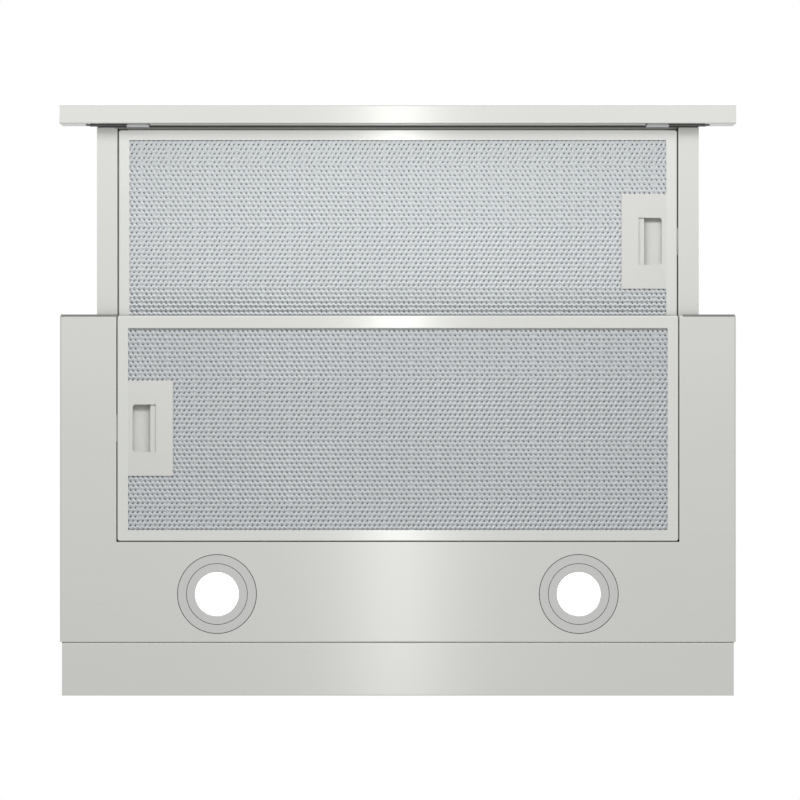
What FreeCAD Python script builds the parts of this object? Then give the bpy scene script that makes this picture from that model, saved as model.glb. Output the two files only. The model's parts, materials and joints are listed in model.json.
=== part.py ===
"""Telescopic range hood, drawn with its slider pulled out.

Millimetres. X runs along the hood's width, +Y points to the wall, +Z is up.
The origin is on the axis of the outlet collar, at the top of the casing.
"""
import FreeCAD, Part
import math
import os

V = FreeCAD.Vector
X_AXIS = V(1, 0, 0)
Y_AXIS = V(0, 1, 0)
Z_AXIS = V(0, 0, 1)

# Sheet and general clearances
SHEET = 1.0
BEND = 1.8
SEAT_GAP = 0.3
RUN_GAP = 1.0
OVERCUT = 1.0
FULL_TURN = 360.0

# Canopy tray and top plate
HOOD_WIDTH = 598.0
BODY_DEPTH = 290.0
TRAY_HEIGHT = 44.0
TRAY_RIM = 14.0
FRONT_CHEEK = 22.5
FRONT_LIP = 13.0
NEST_HEIGHT = 11.0

# Upper casing
CASING_INSET_X = 36.0
CASING_INSET_Y = 16.0
CASING_FLANGE = 12.0
CASING_BEND = 3.0

# Rear spacer panel
SPACER_DEPTH = 47.0
SPACER_INSET = 1.8
SPACER_LEG = 26.0
SPACER_HEM = 8.0
SPACER_SCREWS = 4

# Cabinet brackets
CABINET_SIDE = 18.0
BRACKET_LENGTH = 110.0
BRACKET_LEG = 34.0
BRACKET_SHEET = 1.5
BRACKET_HOLE_R = 2.6
BRACKET_HOLE_SPACING = 64.0
BRACKET_DROP = 40.0

# Grease filters
REAR_BAND_DEPTH = 90.0
FILTER_THICK = 9.5
FILTER_GAP = 0.5
FILTER_SETBACK = 0.4
FILTER_CORNER = 2.5
FRAME_EDGE = 1.5
FRAME_BORDER = 10.0
FRAME_SHEET = 0.8
MESH_SHEET = 0.5
MESH_TUCK = 6.0
PLEAT_PITCH = 12.0
PLEAT_SHEET = 0.5
TAB_LENGTH = 3.5
TAB_WIDTH = 18.0
TAB_SPACING = 120.0

# Filter handle and latch
HANDLE_LENGTH = 39.5
HANDLE_WIDTH = 84.0
HANDLE_SHEET = 1.2
POCKET_EDGE = 3.9
POCKET_LENGTH = 15.6
POCKET_WIDTH = 42.0
POCKET_DEPTH = 7.2
POCKET_WALL = 1.0
POCKET_UNDERCUT = 3.0
POCKET_CORNER = 2.5
LIP_SHOWN = 5.0
LATCH_SHEET = 1.6
LATCH_ARM = 4.6
LATCH_TRAVEL = 5.0
LATCH_BAR = 4.6
TONGUE_WIDTH = 24.0
TONGUE_REACH = 3.6
SPRING_SHEET = 0.5
SPRING_SPAN = 32.0
SPRING_STOP = 1.2

# Slider
SLIDER_INSET = 31.5
RAIL_WIDTH = 19.0
SLIDER_LEVEL = 21.0
SLIDER_HEIGHT = 20.0
FILTER_LAP = 34.0
CLOSED_GAP = 3.0
SLIDER_TAIL = 68.0
SLIDER_TOP_FLANGE = 12.0
SLIDER_FRONT_DROP = 17.0
REAR_BAR_HEIGHT = 10.0
REAR_BAR_FOOT = 8.0

# Ball runners
RUNNER_BAY = 9.0
RUNNER_DEPTH = 10.0
RUNNER_SHEET = 1.2
RUNNER_SETBACK = 2.0
RUNNER_SHORT = 20.0
INNER_RUNNER_SHORT = 6.0
BALL_D = 3.0
BALL_PLAY = 0.05
BALLS_PER_ROW = 5
CAGE_SHEET = 0.6
CAGE_WRAP = 2.4
CAGE_LENGTH = 90.0

# Front strip
STRIP_THICK = 16.0
STRIP_HEIGHT = 44.0
STRIP_DROP = 4.0
STRIP_WALL = 1.5
STRIP_EDGE = 0.8
STRIP_CUT_FROM_END = 27.0
STRIP_CUT_LENGTH = 54.0
STRIP_CUT_HEIGHT = 20.0
HOOK_FROM_END = 68.9
HOOK_WIDTH = 20.0
HOOK_NOSE_WIDTH = 16.0
HOOK_SHEET = 1.4
HOOK_FOOT_LEVEL = 3.0
STRIP_SCREW_DROP = 6.0
STRIP_SCREW_X = (100.0, 190.0)

# Push buttons
BUTTONS = ("light", "off", "low", "medium", "high")
BUTTON_ROW_FROM_END = 53.0
BUTTON_PITCH = 24.0
BUTTON_LEVEL = 22.0
BUTTON_WIDTH = 15.0
BUTTON_HEIGHT = 9.0
BUTTON_SINK = 0.3
BUTTON_EDGE = 0.5
BUTTON_TRAVEL = 1.6
BUTTON_PLAY = 0.3
PANEL_EDGE = 6.0
PANEL_SHEET = 1.6
WINDOW_CORNER = 2.0
BOARD_SHEET = 1.6

# Lamps
LAMP_FROM_END = 139.0
LAMP_FROM_REAR = 43.0
BEZEL_D = 69.4
BEZEL_STEP = 0.8
BEZEL_CHAMFER = 0.3
BEZEL_GROOVE = 0.5
SLEEVE_D = 61.0
RING_D = 53.4
LENS_D = 38.4
LAMP_BODY_HEIGHT = 24.0
LAMP_FINS = 16
LAMP_WALL = 1.6

# Outlet collar and flaps
COLLAR_D = 149.0
COLLAR_WALL = 2.4
COLLAR_HEIGHT = 45.0
COLLAR_RIM = 13.5
COLLAR_FLANGE_SHEET = 3.0
COLLAR_LEDGE = 4.0
COLLAR_SCREWS = 4
FLAP_LEVEL = 14.0
FLAP_SHEET = 1.6
FLAP_GAP = 0.8
FLAP_PIN_D = 4.0
FLAP_KNUCKLE = 1.6
FLAP_BEARING = 0.15
FRONT_KNUCKLES = (0.5, 0.75)
REAR_KNUCKLES = (0.15, 0.4)

# Blower
SCROLL_WIDTH = 110.0
SCROLL_WALL = 2.2
SCROLL_GAP = 9.8
SCROLL_STEPS = 12
TONGUE_GAP = 6.0
WHEEL_HEADROOM = 16.0
SCROLL_GROWTH = 0.07
SCROLL_FLOOR_GAP = 4.0
SCROLL_FLANGE = 2.5
INLET_STEP = 1.0
INLET_LIP = 5.0
BLADE_CHORD = 10.0
BLADE_LEAN = 7.0
WHEEL_WIDTH = 90.0
WHEEL_DISC = 2.0
WHEEL_RING = 3.0
WHEEL_BLADES = 30
BLADE_SHEET = 1.2
HUB_R = 9.0
HUB_LENGTH = 20.0
SHAFT_R = 4.0
SHAFT_FIT = 0.05
MOTOR_INLET_GAP = 12.0
MOTOR_LENGTH = 56.0
MOTOR_BOSS_R = 12.0
MOTOR_BOSS = 6.0
MOTOR_DISC_GAP = 4.0
MOTOR_ARMS = 3
ARM_WIDTH = 14.0
ARM_SHEET = 2.0
GROMMET_R = 5.0
GROMMET_MARGIN = 3.0
GROMMET_H = 6.0

# Electrics inside the casing
BOX_WIDTH = 90.0
BOX_DEPTH = 60.0
BOX_HEIGHT = 38.0
BOX_WALL = 2.0
CAPACITOR_R = 14.0
CAPACITOR_LENGTH = 52.0
GLAND_R = 8.0
GLAND_BORE_R = 4.0
GLAND_HEIGHT = 16.0
GLAND_FROM_SIDE = 53.0
GLAND_FROM_REAR = 49.0
CAPACITOR_FROM_SIDE = 113.0
CAPACITOR_FROM_REAR = 69.0
BOX_FROM_SIDE = 93.0

# Small screws
SCREW_HEAD_R = 4.0
SCREW_HEAD_H = 2.2
SCREW_R = 1.9

# Widths and depths that follow from the hood's own
casing_width = HOOD_WIDTH - 2 * CASING_INSET_X
casing_depth = BODY_DEPTH - 2 * CASING_INSET_Y
cabinet_inside = HOOD_WIDTH - 2 * CABINET_SIDE
slider_width = HOOD_WIDTH - 2 * SLIDER_INSET
filter_width = slider_width - 2 * RAIL_WIDTH
filter_depth = BODY_DEPTH - REAR_BAND_DEPTH
slider_travel = filter_depth - FILTER_LAP
slider_length = filter_depth + SLIDER_TAIL
runner_length = BODY_DEPTH - RUNNER_SHORT
runner_height = SLIDER_HEIGHT - 2 * SHEET - 2 * RUN_GAP
inner_runner_length = slider_length - INNER_RUNNER_SHORT
collar_flange_d = COLLAR_D + 2 * COLLAR_RIM

# The blower fills the casing's depth, and the casing is as tall as the blower needs
mouth_share = math.exp(1.5 * math.pi * SCROLL_GROWTH)
rear_share = math.exp(0.5 * math.pi * SCROLL_GROWTH)
scroll_room = casing_depth / 2 - SHEET - SCROLL_WALL - SCROLL_GAP
scroll_start_r = scroll_room / (mouth_share / 2 + rear_share)
wheel_r = scroll_start_r - TONGUE_GAP
wheel_inner_r = wheel_r - BLADE_CHORD
inlet_r = wheel_inner_r - INLET_STEP
motor_r = inlet_r - MOTOR_INLET_GAP
grommet_circle_r = inlet_r + INLET_LIP + GROMMET_R + GROMMET_MARGIN
scroll_low_r = scroll_start_r * math.exp(math.pi * SCROLL_GROWTH)
casing_height = SCROLL_FLOOR_GAP + SCROLL_WALL + scroll_low_r + wheel_r + WHEEL_HEADROOM

# Levels and stations worked out from the sizes above
floor_z = -(casing_height + TRAY_HEIGHT)
casing_z = -casing_height
tray_top = casing_z - SHEET
front_y = -BODY_DEPTH / 2
rear_y = BODY_DEPTH / 2
half = HOOD_WIDTH / 2
opening_half = filter_width / 2 + FILTER_GAP
opening_depth = filter_depth + FILTER_SETBACK + FILTER_GAP
rear_filter_y = front_y + FILTER_SETBACK + filter_depth / 2
slider_half = slider_width / 2
side_x = slider_half - RUNNER_BAY
slider_z = floor_z + SLIDER_LEVEL
slider_top = slider_z + SLIDER_HEIGHT
strip_rear = front_y - slider_travel - CLOSED_GAP
strip_front = strip_rear - STRIP_THICK
strip_z = floor_z - STRIP_DROP
slider_front = strip_rear + SHEET
hook_rear = slider_front + HOOK_SHEET
front_filter_y = hook_rear + RUN_GAP + filter_depth / 2
lamp_y = rear_y - LAMP_FROM_REAR
runner_z = slider_z + SLIDER_HEIGHT / 2
cheek_x = half - FRONT_CHEEK
strip_cut_outer = half - STRIP_CUT_FROM_END
strip_cut_inner = strip_cut_outer - STRIP_CUT_LENGTH
hook_centre = half - HOOK_FROM_END
button_x = half - BUTTON_ROW_FROM_END - (len(BUTTONS) - 1) * BUTTON_PITCH
lamp_x = half - LAMP_FROM_END
gland_x = GLAND_FROM_SIDE - casing_width / 2
gland_y = casing_depth / 2 - GLAND_FROM_REAR
capacitor_x = casing_width / 2 - CAPACITOR_FROM_SIDE
capacitor_y = casing_depth / 2 - CAPACITOR_FROM_REAR
box_x = BOX_FROM_SIDE - casing_width / 2
screw_hole_r = SCREW_R + SEAT_GAP / 2


def block(x0, x1, y0, y1, z0, z1):
    """A box between two corners."""
    return Part.makeBox(x1 - x0, y1 - y0, z1 - z0, V(x0, y0, z0))


def rod(r, length, base, axis=Z_AXIS):
    """A round bar from its base along an axis."""
    return Part.makeCylinder(r, length, base, axis)


def tube(r_out, r_in, length, base, axis=Z_AXIS):
    """A hollow round bar."""
    return rod(r_out, length, base, axis).cut(rod(r_in, length, base, axis))


def face_of(points):
    """A flat face inside a closed polygon."""
    return Part.Face(Part.makePolygon(points + points[:1]))


def folded(points, thickness, run):
    """A folded sheet: the inner line of its section, thickened outwards and extruded."""
    section = Part.makePolygon(points).makeOffset2D(thickness, 0, True, True, False)
    return section.extrude(run)


def rounded_block(x0, x1, y0, y1, z0, z1, r):
    """A box with its four upright edges rounded."""
    body = block(x0, x1, y0, y1, z0, z1)
    upright = [e for e in body.Edges if abs(e.BoundBox.ZLength - (z1 - z0)) < 1e-6]
    return body.makeFillet(r, upright)


def both_sides(shape):
    """A shape and its mirror image across the hood's middle."""
    return Part.makeCompound([shape, shape.mirror(V(), X_AXIS)])


def mirror_x(shape):
    return shape.mirror(V(), X_AXIS)


def screw(place, axis, grip):
    """A pan-head screw: its seat is at place and its shank runs along axis."""
    head = Part.makeSphere(SCREW_HEAD_R, V(), Z_AXIS, 0, FULL_TURN / 4, FULL_TURN)
    squash = FreeCAD.Matrix()
    squash.scale(1, 1, SCREW_HEAD_H / SCREW_HEAD_R)
    head = head.transformGeometry(squash)
    body = head.fuse(rod(SCREW_R, grip, V(0, 0, -grip))).removeSplitter()
    body.Placement = FreeCAD.Placement(place, FreeCAD.Rotation(V(0, 0, -1), axis))
    return body


def save(name, shape):
    """Write one node, as a solid or as a group of separate solids."""
    for solid in shape.Solids:
        if not solid.isValid() or solid.Volume < 0.5:
            raise ValueError(f"{name} has a bad solid")
    if not shape.Solids:
        raise ValueError(f"{name} is empty")
    shape.exportStep(f"parts/{name}.step")


# Canopy

def canopy_tray():
    """Folded tray: bottom with the filter opening, upright walls and an inward rim."""
    outer = block(-half, half, front_y, rear_y, floor_z, tray_top)
    bends = [e for e in outer.Edges if e.BoundBox.ZMin < tray_top - SHEET]
    bends = [e for e in bends if e.BoundBox.ZMax < tray_top or e.BoundBox.ZLength > SHEET]
    outer = outer.makeFillet(BEND, bends)
    inner = block(-half + SHEET, half - SHEET, front_y + SHEET, rear_y - SHEET,
                  floor_z + SHEET, tray_top - SHEET)
    tray = outer.cut(inner)
    rim_x = half - TRAY_RIM
    tray = tray.cut(block(-rim_x, rim_x, front_y + TRAY_RIM, rear_y - TRAY_RIM,
                          tray_top - 2 * SHEET, tray_top + SHEET))
    tray = tray.cut(block(-cheek_x, cheek_x, front_y - SHEET, front_y + 2 * SHEET,
                          floor_z + FRONT_LIP, tray_top - SHEET))
    opening_rear = front_y + opening_depth
    nest = block(-opening_half - SHEET, opening_half + SHEET, front_y, opening_rear + SHEET,
                 floor_z, floor_z + NEST_HEIGHT)
    tray = tray.fuse(nest)
    tray = tray.cut(block(-opening_half, opening_half, front_y - SHEET, opening_rear,
                          floor_z - SHEET, floor_z + FRONT_LIP + SHEET))
    tray = tray.cut(filter_notches(-1, rear_filter_y, floor_z))
    for side in (-1, 1):
        tray = tray.cut(rod(SLEEVE_D / 2 + SEAT_GAP, 3 * SHEET, V(side * lamp_x, lamp_y, floor_z - SHEET)))
    for place in spacer_screw_places():
        tray = tray.cut(rod(screw_hole_r, 3 * SHEET, place - Y_AXIS * 2 * SHEET, Y_AXIS))
    return tray.removeSplitter()


def filter_notches(side, centre_y, level):
    """Notches in the nest: one for the latch tongue, two opposite it for the filter's tabs."""
    wall_in = opening_half - FILTER_GAP
    wall_out = opening_half + 2 * SHEET
    low = level + HANDLE_SHEET + SEAT_GAP - SEAT_GAP / 2
    top = level + NEST_HEIGHT + SHEET
    tongue = block(wall_in, wall_out, centre_y - TONGUE_WIDTH / 2 - SEAT_GAP,
                   centre_y + TONGUE_WIDTH / 2 + SEAT_GAP, low, top)
    cuts = [tongue]
    tab_low = level + FILTER_THICK - FRAME_SHEET - SEAT_GAP
    for step in (-0.5, 0.5):
        tab_y = centre_y + step * TAB_SPACING
        cuts.append(block(-wall_out, -wall_in, tab_y - TAB_WIDTH / 2 - SEAT_GAP,
                          tab_y + TAB_WIDTH / 2 + SEAT_GAP, tab_low, top))
    notches = Part.makeCompound(cuts)
    return notches if side > 0 else mirror_x(notches)


def top_plate():
    """Flat ring on the tray's rim, carrying the casing."""
    plate = rounded_block(-half, half, front_y, rear_y, tray_top, casing_z, BEND)
    inner_x = casing_width / 2 - SHEET
    inner_y = casing_depth / 2 - SHEET
    return plate.cut(block(-inner_x, inner_x, -inner_y, inner_y, tray_top - SHEET, casing_z + SHEET))


def spacer_screw_places():
    """Screw seats on the spacer's upright leg."""
    span = HOOD_WIDTH - 4 * SPACER_LEG
    level = floor_z + SHEET + SPACER_LEG / 2
    step = span / (SPACER_SCREWS - 1)
    return [V(-span / 2 + i * step, rear_y + SHEET, level) for i in range(SPACER_SCREWS)]


def rear_spacer():
    """Folded panel that closes the gap between the tray and the wall."""
    low = floor_z + SHEET
    line = [V(0, rear_y + SHEET, low + SPACER_LEG),
            V(0, rear_y + SHEET, low + SHEET),
            V(0, rear_y + SPACER_DEPTH - SHEET, low + SHEET),
            V(0, rear_y + SPACER_DEPTH - SHEET, low + SPACER_HEM)]
    width = HOOD_WIDTH - 2 * SPACER_INSET
    panel = folded(line, SHEET, X_AXIS * width)
    panel.translate(V(-width / 2, 0, 0))
    for place in spacer_screw_places():
        panel = panel.cut(rod(screw_hole_r, 3 * SHEET, place - Y_AXIS * 2 * SHEET, Y_AXIS))
    return panel


def runner_bracket():
    """Right-hand angle that carries the outer runner, standing on the tray."""
    web = side_x + RUNNER_DEPTH
    base = floor_z + SHEET
    line = [V(web + RUNNER_SHEET, 0, runner_z + runner_height / 2),
            V(web + RUNNER_SHEET, 0, base + RUNNER_SHEET),
            V(half - SHEET - BEND, 0, base + RUNNER_SHEET)]
    bracket = folded(line, -RUNNER_SHEET, Y_AXIS * runner_length)
    bracket.translate(V(0, front_y + RUNNER_SETBACK, 0))
    return bracket


# Casing

def upper_casing():
    """Folded box, open below, with an outward flange and the outlet hole."""
    hx = casing_width / 2
    hy = casing_depth / 2
    outer = block(-hx, hx, -hy, hy, casing_z, 0)
    outer = outer.makeFillet(CASING_BEND, [e for e in outer.Edges if e.BoundBox.ZMax > -SHEET])
    inner = block(-hx + SHEET, hx - SHEET, -hy + SHEET, hy - SHEET, casing_z - SHEET, -SHEET)
    flange = block(-hx - CASING_FLANGE, hx + CASING_FLANGE, -hy - CASING_FLANGE, hy + CASING_FLANGE,
                   casing_z, casing_z + SHEET)
    casing = outer.fuse(flange).cut(inner)
    casing = casing.cut(rod(collar_bore(), 3 * SHEET, V(0, 0, -2 * SHEET)))
    casing = casing.cut(rod(GLAND_R - SHEET, 3 * SHEET, V(gland_x, gland_y, -2 * SHEET)))
    for place in collar_screw_places():
        casing = casing.cut(rod(screw_hole_r, 3 * SHEET, V(place.x, place.y, -2 * SHEET)))
    for place in bracket_screw_places():
        hole = rod(screw_hole_r, 4 * SHEET, place - X_AXIS * 3 * SHEET, X_AXIS)
        casing = casing.cut(both_sides(hole))
    for place in casing_screw_places():
        casing = casing.cut(rod(screw_hole_r, 3 * SHEET, place - Z_AXIS * 2 * SHEET))
    return casing.removeSplitter()


def casing_screw_places():
    """Screw seats on the casing's flange, along its front and its back."""
    y = (casing_depth + CASING_FLANGE) / 2
    reach = casing_width / 2 - 2 * TRAY_RIM
    return [V(x, side * y, casing_z + SHEET) for side in (-1, 1) for x in (-reach, 0, reach)]


def cabinet_bracket():
    """Right-hand channel between the casing and the cabinet's side."""
    inner = casing_width / 2 + BRACKET_SHEET
    outer = cabinet_inside / 2 - BRACKET_SHEET
    top = -BRACKET_DROP - BRACKET_SHEET
    low = top - BRACKET_LEG
    line = [V(inner, 0, low), V(inner, 0, top), V(outer, 0, top), V(outer, 0, low)]
    bracket = folded(line, BRACKET_SHEET, Y_AXIS * BRACKET_LENGTH)
    bracket.translate(V(0, -BRACKET_LENGTH / 2, 0))
    mid = (top + low) / 2
    for step in (-0.5, 0.5):
        place = V(outer - BRACKET_SHEET, step * BRACKET_HOLE_SPACING, mid)
        bracket = bracket.cut(rod(BRACKET_HOLE_R, 4 * BRACKET_SHEET, place, X_AXIS))
    for place in bracket_screw_places():
        hole = rod(screw_hole_r, 4 * SHEET, place - X_AXIS * 3 * SHEET, X_AXIS)
        bracket = bracket.cut(hole)
    return bracket


def bracket_screw_places():
    """Screw seats on the right bracket's leg that lies on the casing."""
    x = casing_width / 2 + BRACKET_SHEET
    z = -BRACKET_DROP - BRACKET_SHEET - BRACKET_LEG / 2
    reach = BRACKET_LENGTH / 2 - 2 * SCREW_HEAD_R
    return [V(x, -reach, z), V(x, reach, z)]


# Outlet

def collar_bore():
    return COLLAR_D / 2 - COLLAR_WALL


def collar_screw_places():
    """Screw seats round the collar's flange."""
    r = (COLLAR_D + collar_flange_d) / 4
    turns = [math.pi * (i + 0.5) * 2 / COLLAR_SCREWS for i in range(COLLAR_SCREWS)]
    return [V(r * math.cos(a), r * math.sin(a), COLLAR_FLANGE_SHEET) for a in turns]


def flap_axis_z():
    return FLAP_LEVEL + SEAT_GAP + FLAP_SHEET / 2


def outlet_collar():
    """Turned collar: flange, tube with a rounded mouth and the ledge that the flaps lie on."""
    r = COLLAR_D / 2
    bore = collar_bore()
    ledge = bore - COLLAR_LEDGE
    lip = COLLAR_WALL / 2
    points = [V(ledge, 0, FLAP_LEVEL), V(ledge, 0, FLAP_LEVEL - COLLAR_WALL),
              V(bore, 0, FLAP_LEVEL - COLLAR_WALL - COLLAR_LEDGE), V(bore, 0, 0),
              V(collar_flange_d / 2, 0, 0), V(collar_flange_d / 2, 0, COLLAR_FLANGE_SHEET),
              V(r, 0, COLLAR_FLANGE_SHEET), V(r, 0, COLLAR_HEIGHT - lip)]
    edges = [Part.LineSegment(a, b).toShape() for a, b in zip(points, points[1:])]
    top_in = V(bore, 0, COLLAR_HEIGHT - lip)
    mouth = Part.Arc(points[-1], V(bore + lip, 0, COLLAR_HEIGHT), top_in)
    edges.append(mouth.toShape())
    edges.append(Part.LineSegment(top_in, V(bore, 0, FLAP_LEVEL)).toShape())
    edges.append(Part.LineSegment(V(bore, 0, FLAP_LEVEL), points[0]).toShape())
    collar = Part.Face(Part.Wire(edges)).revolve(V(), Z_AXIS, FULL_TURN)
    collar = collar.cut(rod(FLAP_PIN_D / 2 + SHAFT_FIT, COLLAR_D, V(-r, 0, flap_axis_z()), X_AXIS))
    for place in collar_screw_places():
        collar = collar.cut(rod(screw_hole_r, 2 * COLLAR_FLANGE_SHEET, V(place.x, place.y, -OVERCUT)))
    return collar


def flap_pin():
    length = COLLAR_D - COLLAR_WALL
    return rod(FLAP_PIN_D / 2, length, V(-length / 2, 0, flap_axis_z()), X_AXIS)


def flap(side):
    """Half-round flap with its knuckles on the pin; side is -1 for the front one."""
    r = collar_bore() - FLAP_GAP
    knuckle_r = FLAP_PIN_D / 2 + FLAP_BEARING + FLAP_KNUCKLE
    root = knuckle_r + FLAP_GAP
    low = flap_axis_z() - FLAP_SHEET / 2
    leaf = rod(r, FLAP_SHEET, V(0, 0, low))
    leaf = leaf.common(block(-r, r, root, r, low, low + FLAP_SHEET))
    rib = block(-r / 2, r / 2, r / 2, r / 2 + FLAP_SHEET, low, low + 2 * FLAP_SHEET)
    leaf = leaf.fuse(rib)
    near, far = FRONT_KNUCKLES if side < 0 else REAR_KNUCKLES
    for a, b in ((-far, -near), (near, far)):
        knuckle = rod(knuckle_r, (b - a) * r, V(a * r, 0, flap_axis_z()), X_AXIS)
        web = block(a * r, b * r, 0, root + FLAP_SHEET, low, low + FLAP_SHEET)
        leaf = leaf.fuse([knuckle, web])
    leaf = leaf.cut(rod(FLAP_PIN_D / 2 + FLAP_BEARING, 2 * r, V(-r, 0, flap_axis_z()), X_AXIS))
    leaf = leaf.removeSplitter()
    return leaf if side > 0 else leaf.mirror(V(), Y_AXIS)


def cable_gland():
    """Turned gland on the casing's top, with a round seat and a bore for a lead."""
    base = V(gland_x, gland_y, 0)
    seat_height = GLAND_HEIGHT / 4
    neck_r = GLAND_R - SHEET - SEAT_GAP / 2
    neck = tube(neck_r, GLAND_BORE_R, GLAND_HEIGHT, base - Z_AXIS * GLAND_HEIGHT / 2)
    seat = tube(GLAND_R + 2 * SHEET, GLAND_BORE_R, seat_height, base)
    dome = Part.makeCone(GLAND_R, GLAND_BORE_R + SHEET, GLAND_HEIGHT / 2, base + Z_AXIS * seat_height)
    dome = dome.cut(rod(GLAND_BORE_R, GLAND_HEIGHT, base))
    return neck.fuse([seat, dome]).removeSplitter()


# Blower

def scroll_r(turn):
    """Inner radius of the scroll, growing with the angle turned from its tongue."""
    return scroll_start_r * math.exp(SCROLL_GROWTH * turn)


def wheel_centre():
    """Axis of the blower wheel, placed so that the outlet is under the collar."""
    mouth = scroll_r(1.5 * math.pi)
    low = casing_z + SCROLL_FLOOR_GAP + SCROLL_WALL + scroll_r(math.pi)
    return V(0, mouth / 2, low)


def scroll_outline(grow, top):
    """Closed outline of the scroll in the YZ plane, grown outwards by a wall."""
    c = wheel_centre()
    first = math.asin(grow / (scroll_start_r + grow))
    points = []
    for i in range(SCROLL_STEPS + 1):
        turn = first + (1.5 * math.pi - first) * i / SCROLL_STEPS
        r = scroll_r(turn) + grow
        a = math.pi / 2 - turn
        points.append(V(0, c.y + r * math.cos(a), c.z + r * math.sin(a)))
    curve = Part.BSplineCurve()
    curve.interpolate(points)
    lines = [points[-1], V(0, points[-1].y, top), V(0, points[0].y, top), points[0]]
    edges = [curve.toShape()]
    edges += [Part.LineSegment(a, b).toShape() for a, b in zip(lines, lines[1:])]
    return Part.Face(Part.Wire(edges))


def scroll_half():
    """Right-hand half of the scroll: wall, side plate with its inlet mouth, outlet flange."""
    c = wheel_centre()
    top = -SHEET
    reach = SCROLL_WIDTH / 2
    body = scroll_outline(SCROLL_WALL, top).extrude(X_AXIS * reach)
    hollow = scroll_outline(0, top).extrude(X_AXIS * (reach - SCROLL_WALL))
    body = body.cut(hollow)
    flange_r = collar_bore() + 2 * SCROLL_FLANGE
    flange = rod(flange_r, SCROLL_FLANGE, V(0, 0, top - SCROLL_FLANGE))
    flange = flange.common(block(0, flange_r, -flange_r, flange_r, top - SCROLL_FLANGE, top))
    body = body.fuse(flange).cut(hollow)
    body = body.cut(rod(inlet_r, SCROLL_WIDTH, V(0, c.y, c.z), X_AXIS))
    r = inlet_r
    edge = r + INLET_LIP
    out = reach + INLET_LIP
    bend = INLET_LIP * math.sqrt(0.5)
    curve = Part.Arc(V(reach, r, 0), V(reach + bend, edge - bend, 0), V(out, edge, 0)).toShape()
    back = Part.makePolygon([V(out, edge, 0), V(reach, edge, 0), V(reach, r, 0)])
    mouth = Part.Face(Part.Wire([curve] + back.Edges)).revolve(V(), X_AXIS, FULL_TURN)
    mouth.translate(c)
    return body.fuse(mouth).removeSplitter()


def wheel_point(r, degrees):
    c = wheel_centre()
    a = math.radians(degrees)
    return V(0, c.y + r * math.cos(a), c.z + r * math.sin(a))


def blade_face(start):
    """Section of one forward-curved blade."""
    sheet_turn = math.degrees(BLADE_SHEET / wheel_r)
    mid_r = (wheel_r + wheel_inner_r) / 2
    tip_r = wheel_r - SEAT_GAP
    first = Part.Arc(wheel_point(wheel_inner_r, start), wheel_point(mid_r, start + BLADE_LEAN / 4),
                     wheel_point(tip_r, start + BLADE_LEAN))
    last = Part.Arc(wheel_point(tip_r, start + BLADE_LEAN + sheet_turn),
                    wheel_point(mid_r, start + BLADE_LEAN / 4 + sheet_turn),
                    wheel_point(wheel_inner_r, start + sheet_turn))
    edges = [first.toShape(), Part.LineSegment(first.EndPoint, last.StartPoint).toShape(),
             last.toShape(), Part.LineSegment(last.EndPoint, first.StartPoint).toShape()]
    return Part.Face(Part.Wire(edges))


def impeller():
    """Double-inlet wheel: middle disc and hub, forward-curved blades and two end rings."""
    c = wheel_centre()
    reach = WHEEL_WIDTH / 2
    disc = rod(wheel_r - SEAT_GAP, WHEEL_DISC, V(-WHEEL_DISC / 2, c.y, c.z), X_AXIS)
    hub = rod(HUB_R, HUB_LENGTH, V(-WHEEL_DISC / 2, c.y, c.z), X_AXIS)
    pieces = [hub]
    for x in (-reach, reach - WHEEL_RING):
        pieces.append(tube(wheel_r, (wheel_r + wheel_inner_r) / 2, WHEEL_RING, V(x, c.y, c.z), X_AXIS))
    for i in range(WHEEL_BLADES):
        blade = blade_face(FULL_TURN * i / WHEEL_BLADES).extrude(X_AXIS * WHEEL_WIDTH)
        blade.translate(V(-reach, 0, 0))
        pieces.append(blade)
    wheel = disc.fuse(pieces)
    return wheel.cut(rod(SHAFT_R, WHEEL_WIDTH, V(-reach, c.y, c.z), X_AXIS))


def motor_face_x():
    """The motor's inner end, next to the wheel's disc."""
    return -WHEEL_DISC / 2 - MOTOR_DISC_GAP


def motor_shaft():
    c = wheel_centre()
    start = motor_face_x() - 2 * MOTOR_BOSS
    end = HUB_LENGTH - WHEEL_DISC / 2 + SHAFT_R
    return rod(SHAFT_R, end - start, V(start, c.y, c.z), X_AXIS)


def motor():
    """Round motor with a front boss, end-shield steps and cooling grooves."""
    c = wheel_centre()
    face = motor_face_x()
    shell_x = face - MOTOR_BOSS - MOTOR_LENGTH
    body = rod(motor_r, MOTOR_LENGTH, V(shell_x, c.y, c.z), X_AXIS)
    body = body.makeFillet(MOTOR_BOSS / 2, [e for e in body.Edges if len(e.Vertexes) == 1])
    body = body.fuse(rod(MOTOR_BOSS_R, MOTOR_BOSS * 2, V(face - 2 * MOTOR_BOSS, c.y, c.z), X_AXIS))
    depth = 2 * MOTOR_BOSS + SHAFT_R
    bore = rod(SHAFT_R + SHAFT_FIT, depth, V(face - depth, c.y, c.z), X_AXIS)
    return body.cut(bore).removeSplitter()


def bracket_plane_x():
    """Inner face of the motor bracket's arms, standing on the grommets."""
    return -SCROLL_WIDTH / 2 - GROMMET_H


def grommet_places():
    turns = [-90.0 + FULL_TURN * i / MOTOR_ARMS for i in range(MOTOR_ARMS)]
    return [wheel_point(grommet_circle_r, a) + X_AXIS * bracket_plane_x() for a in turns]


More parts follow.
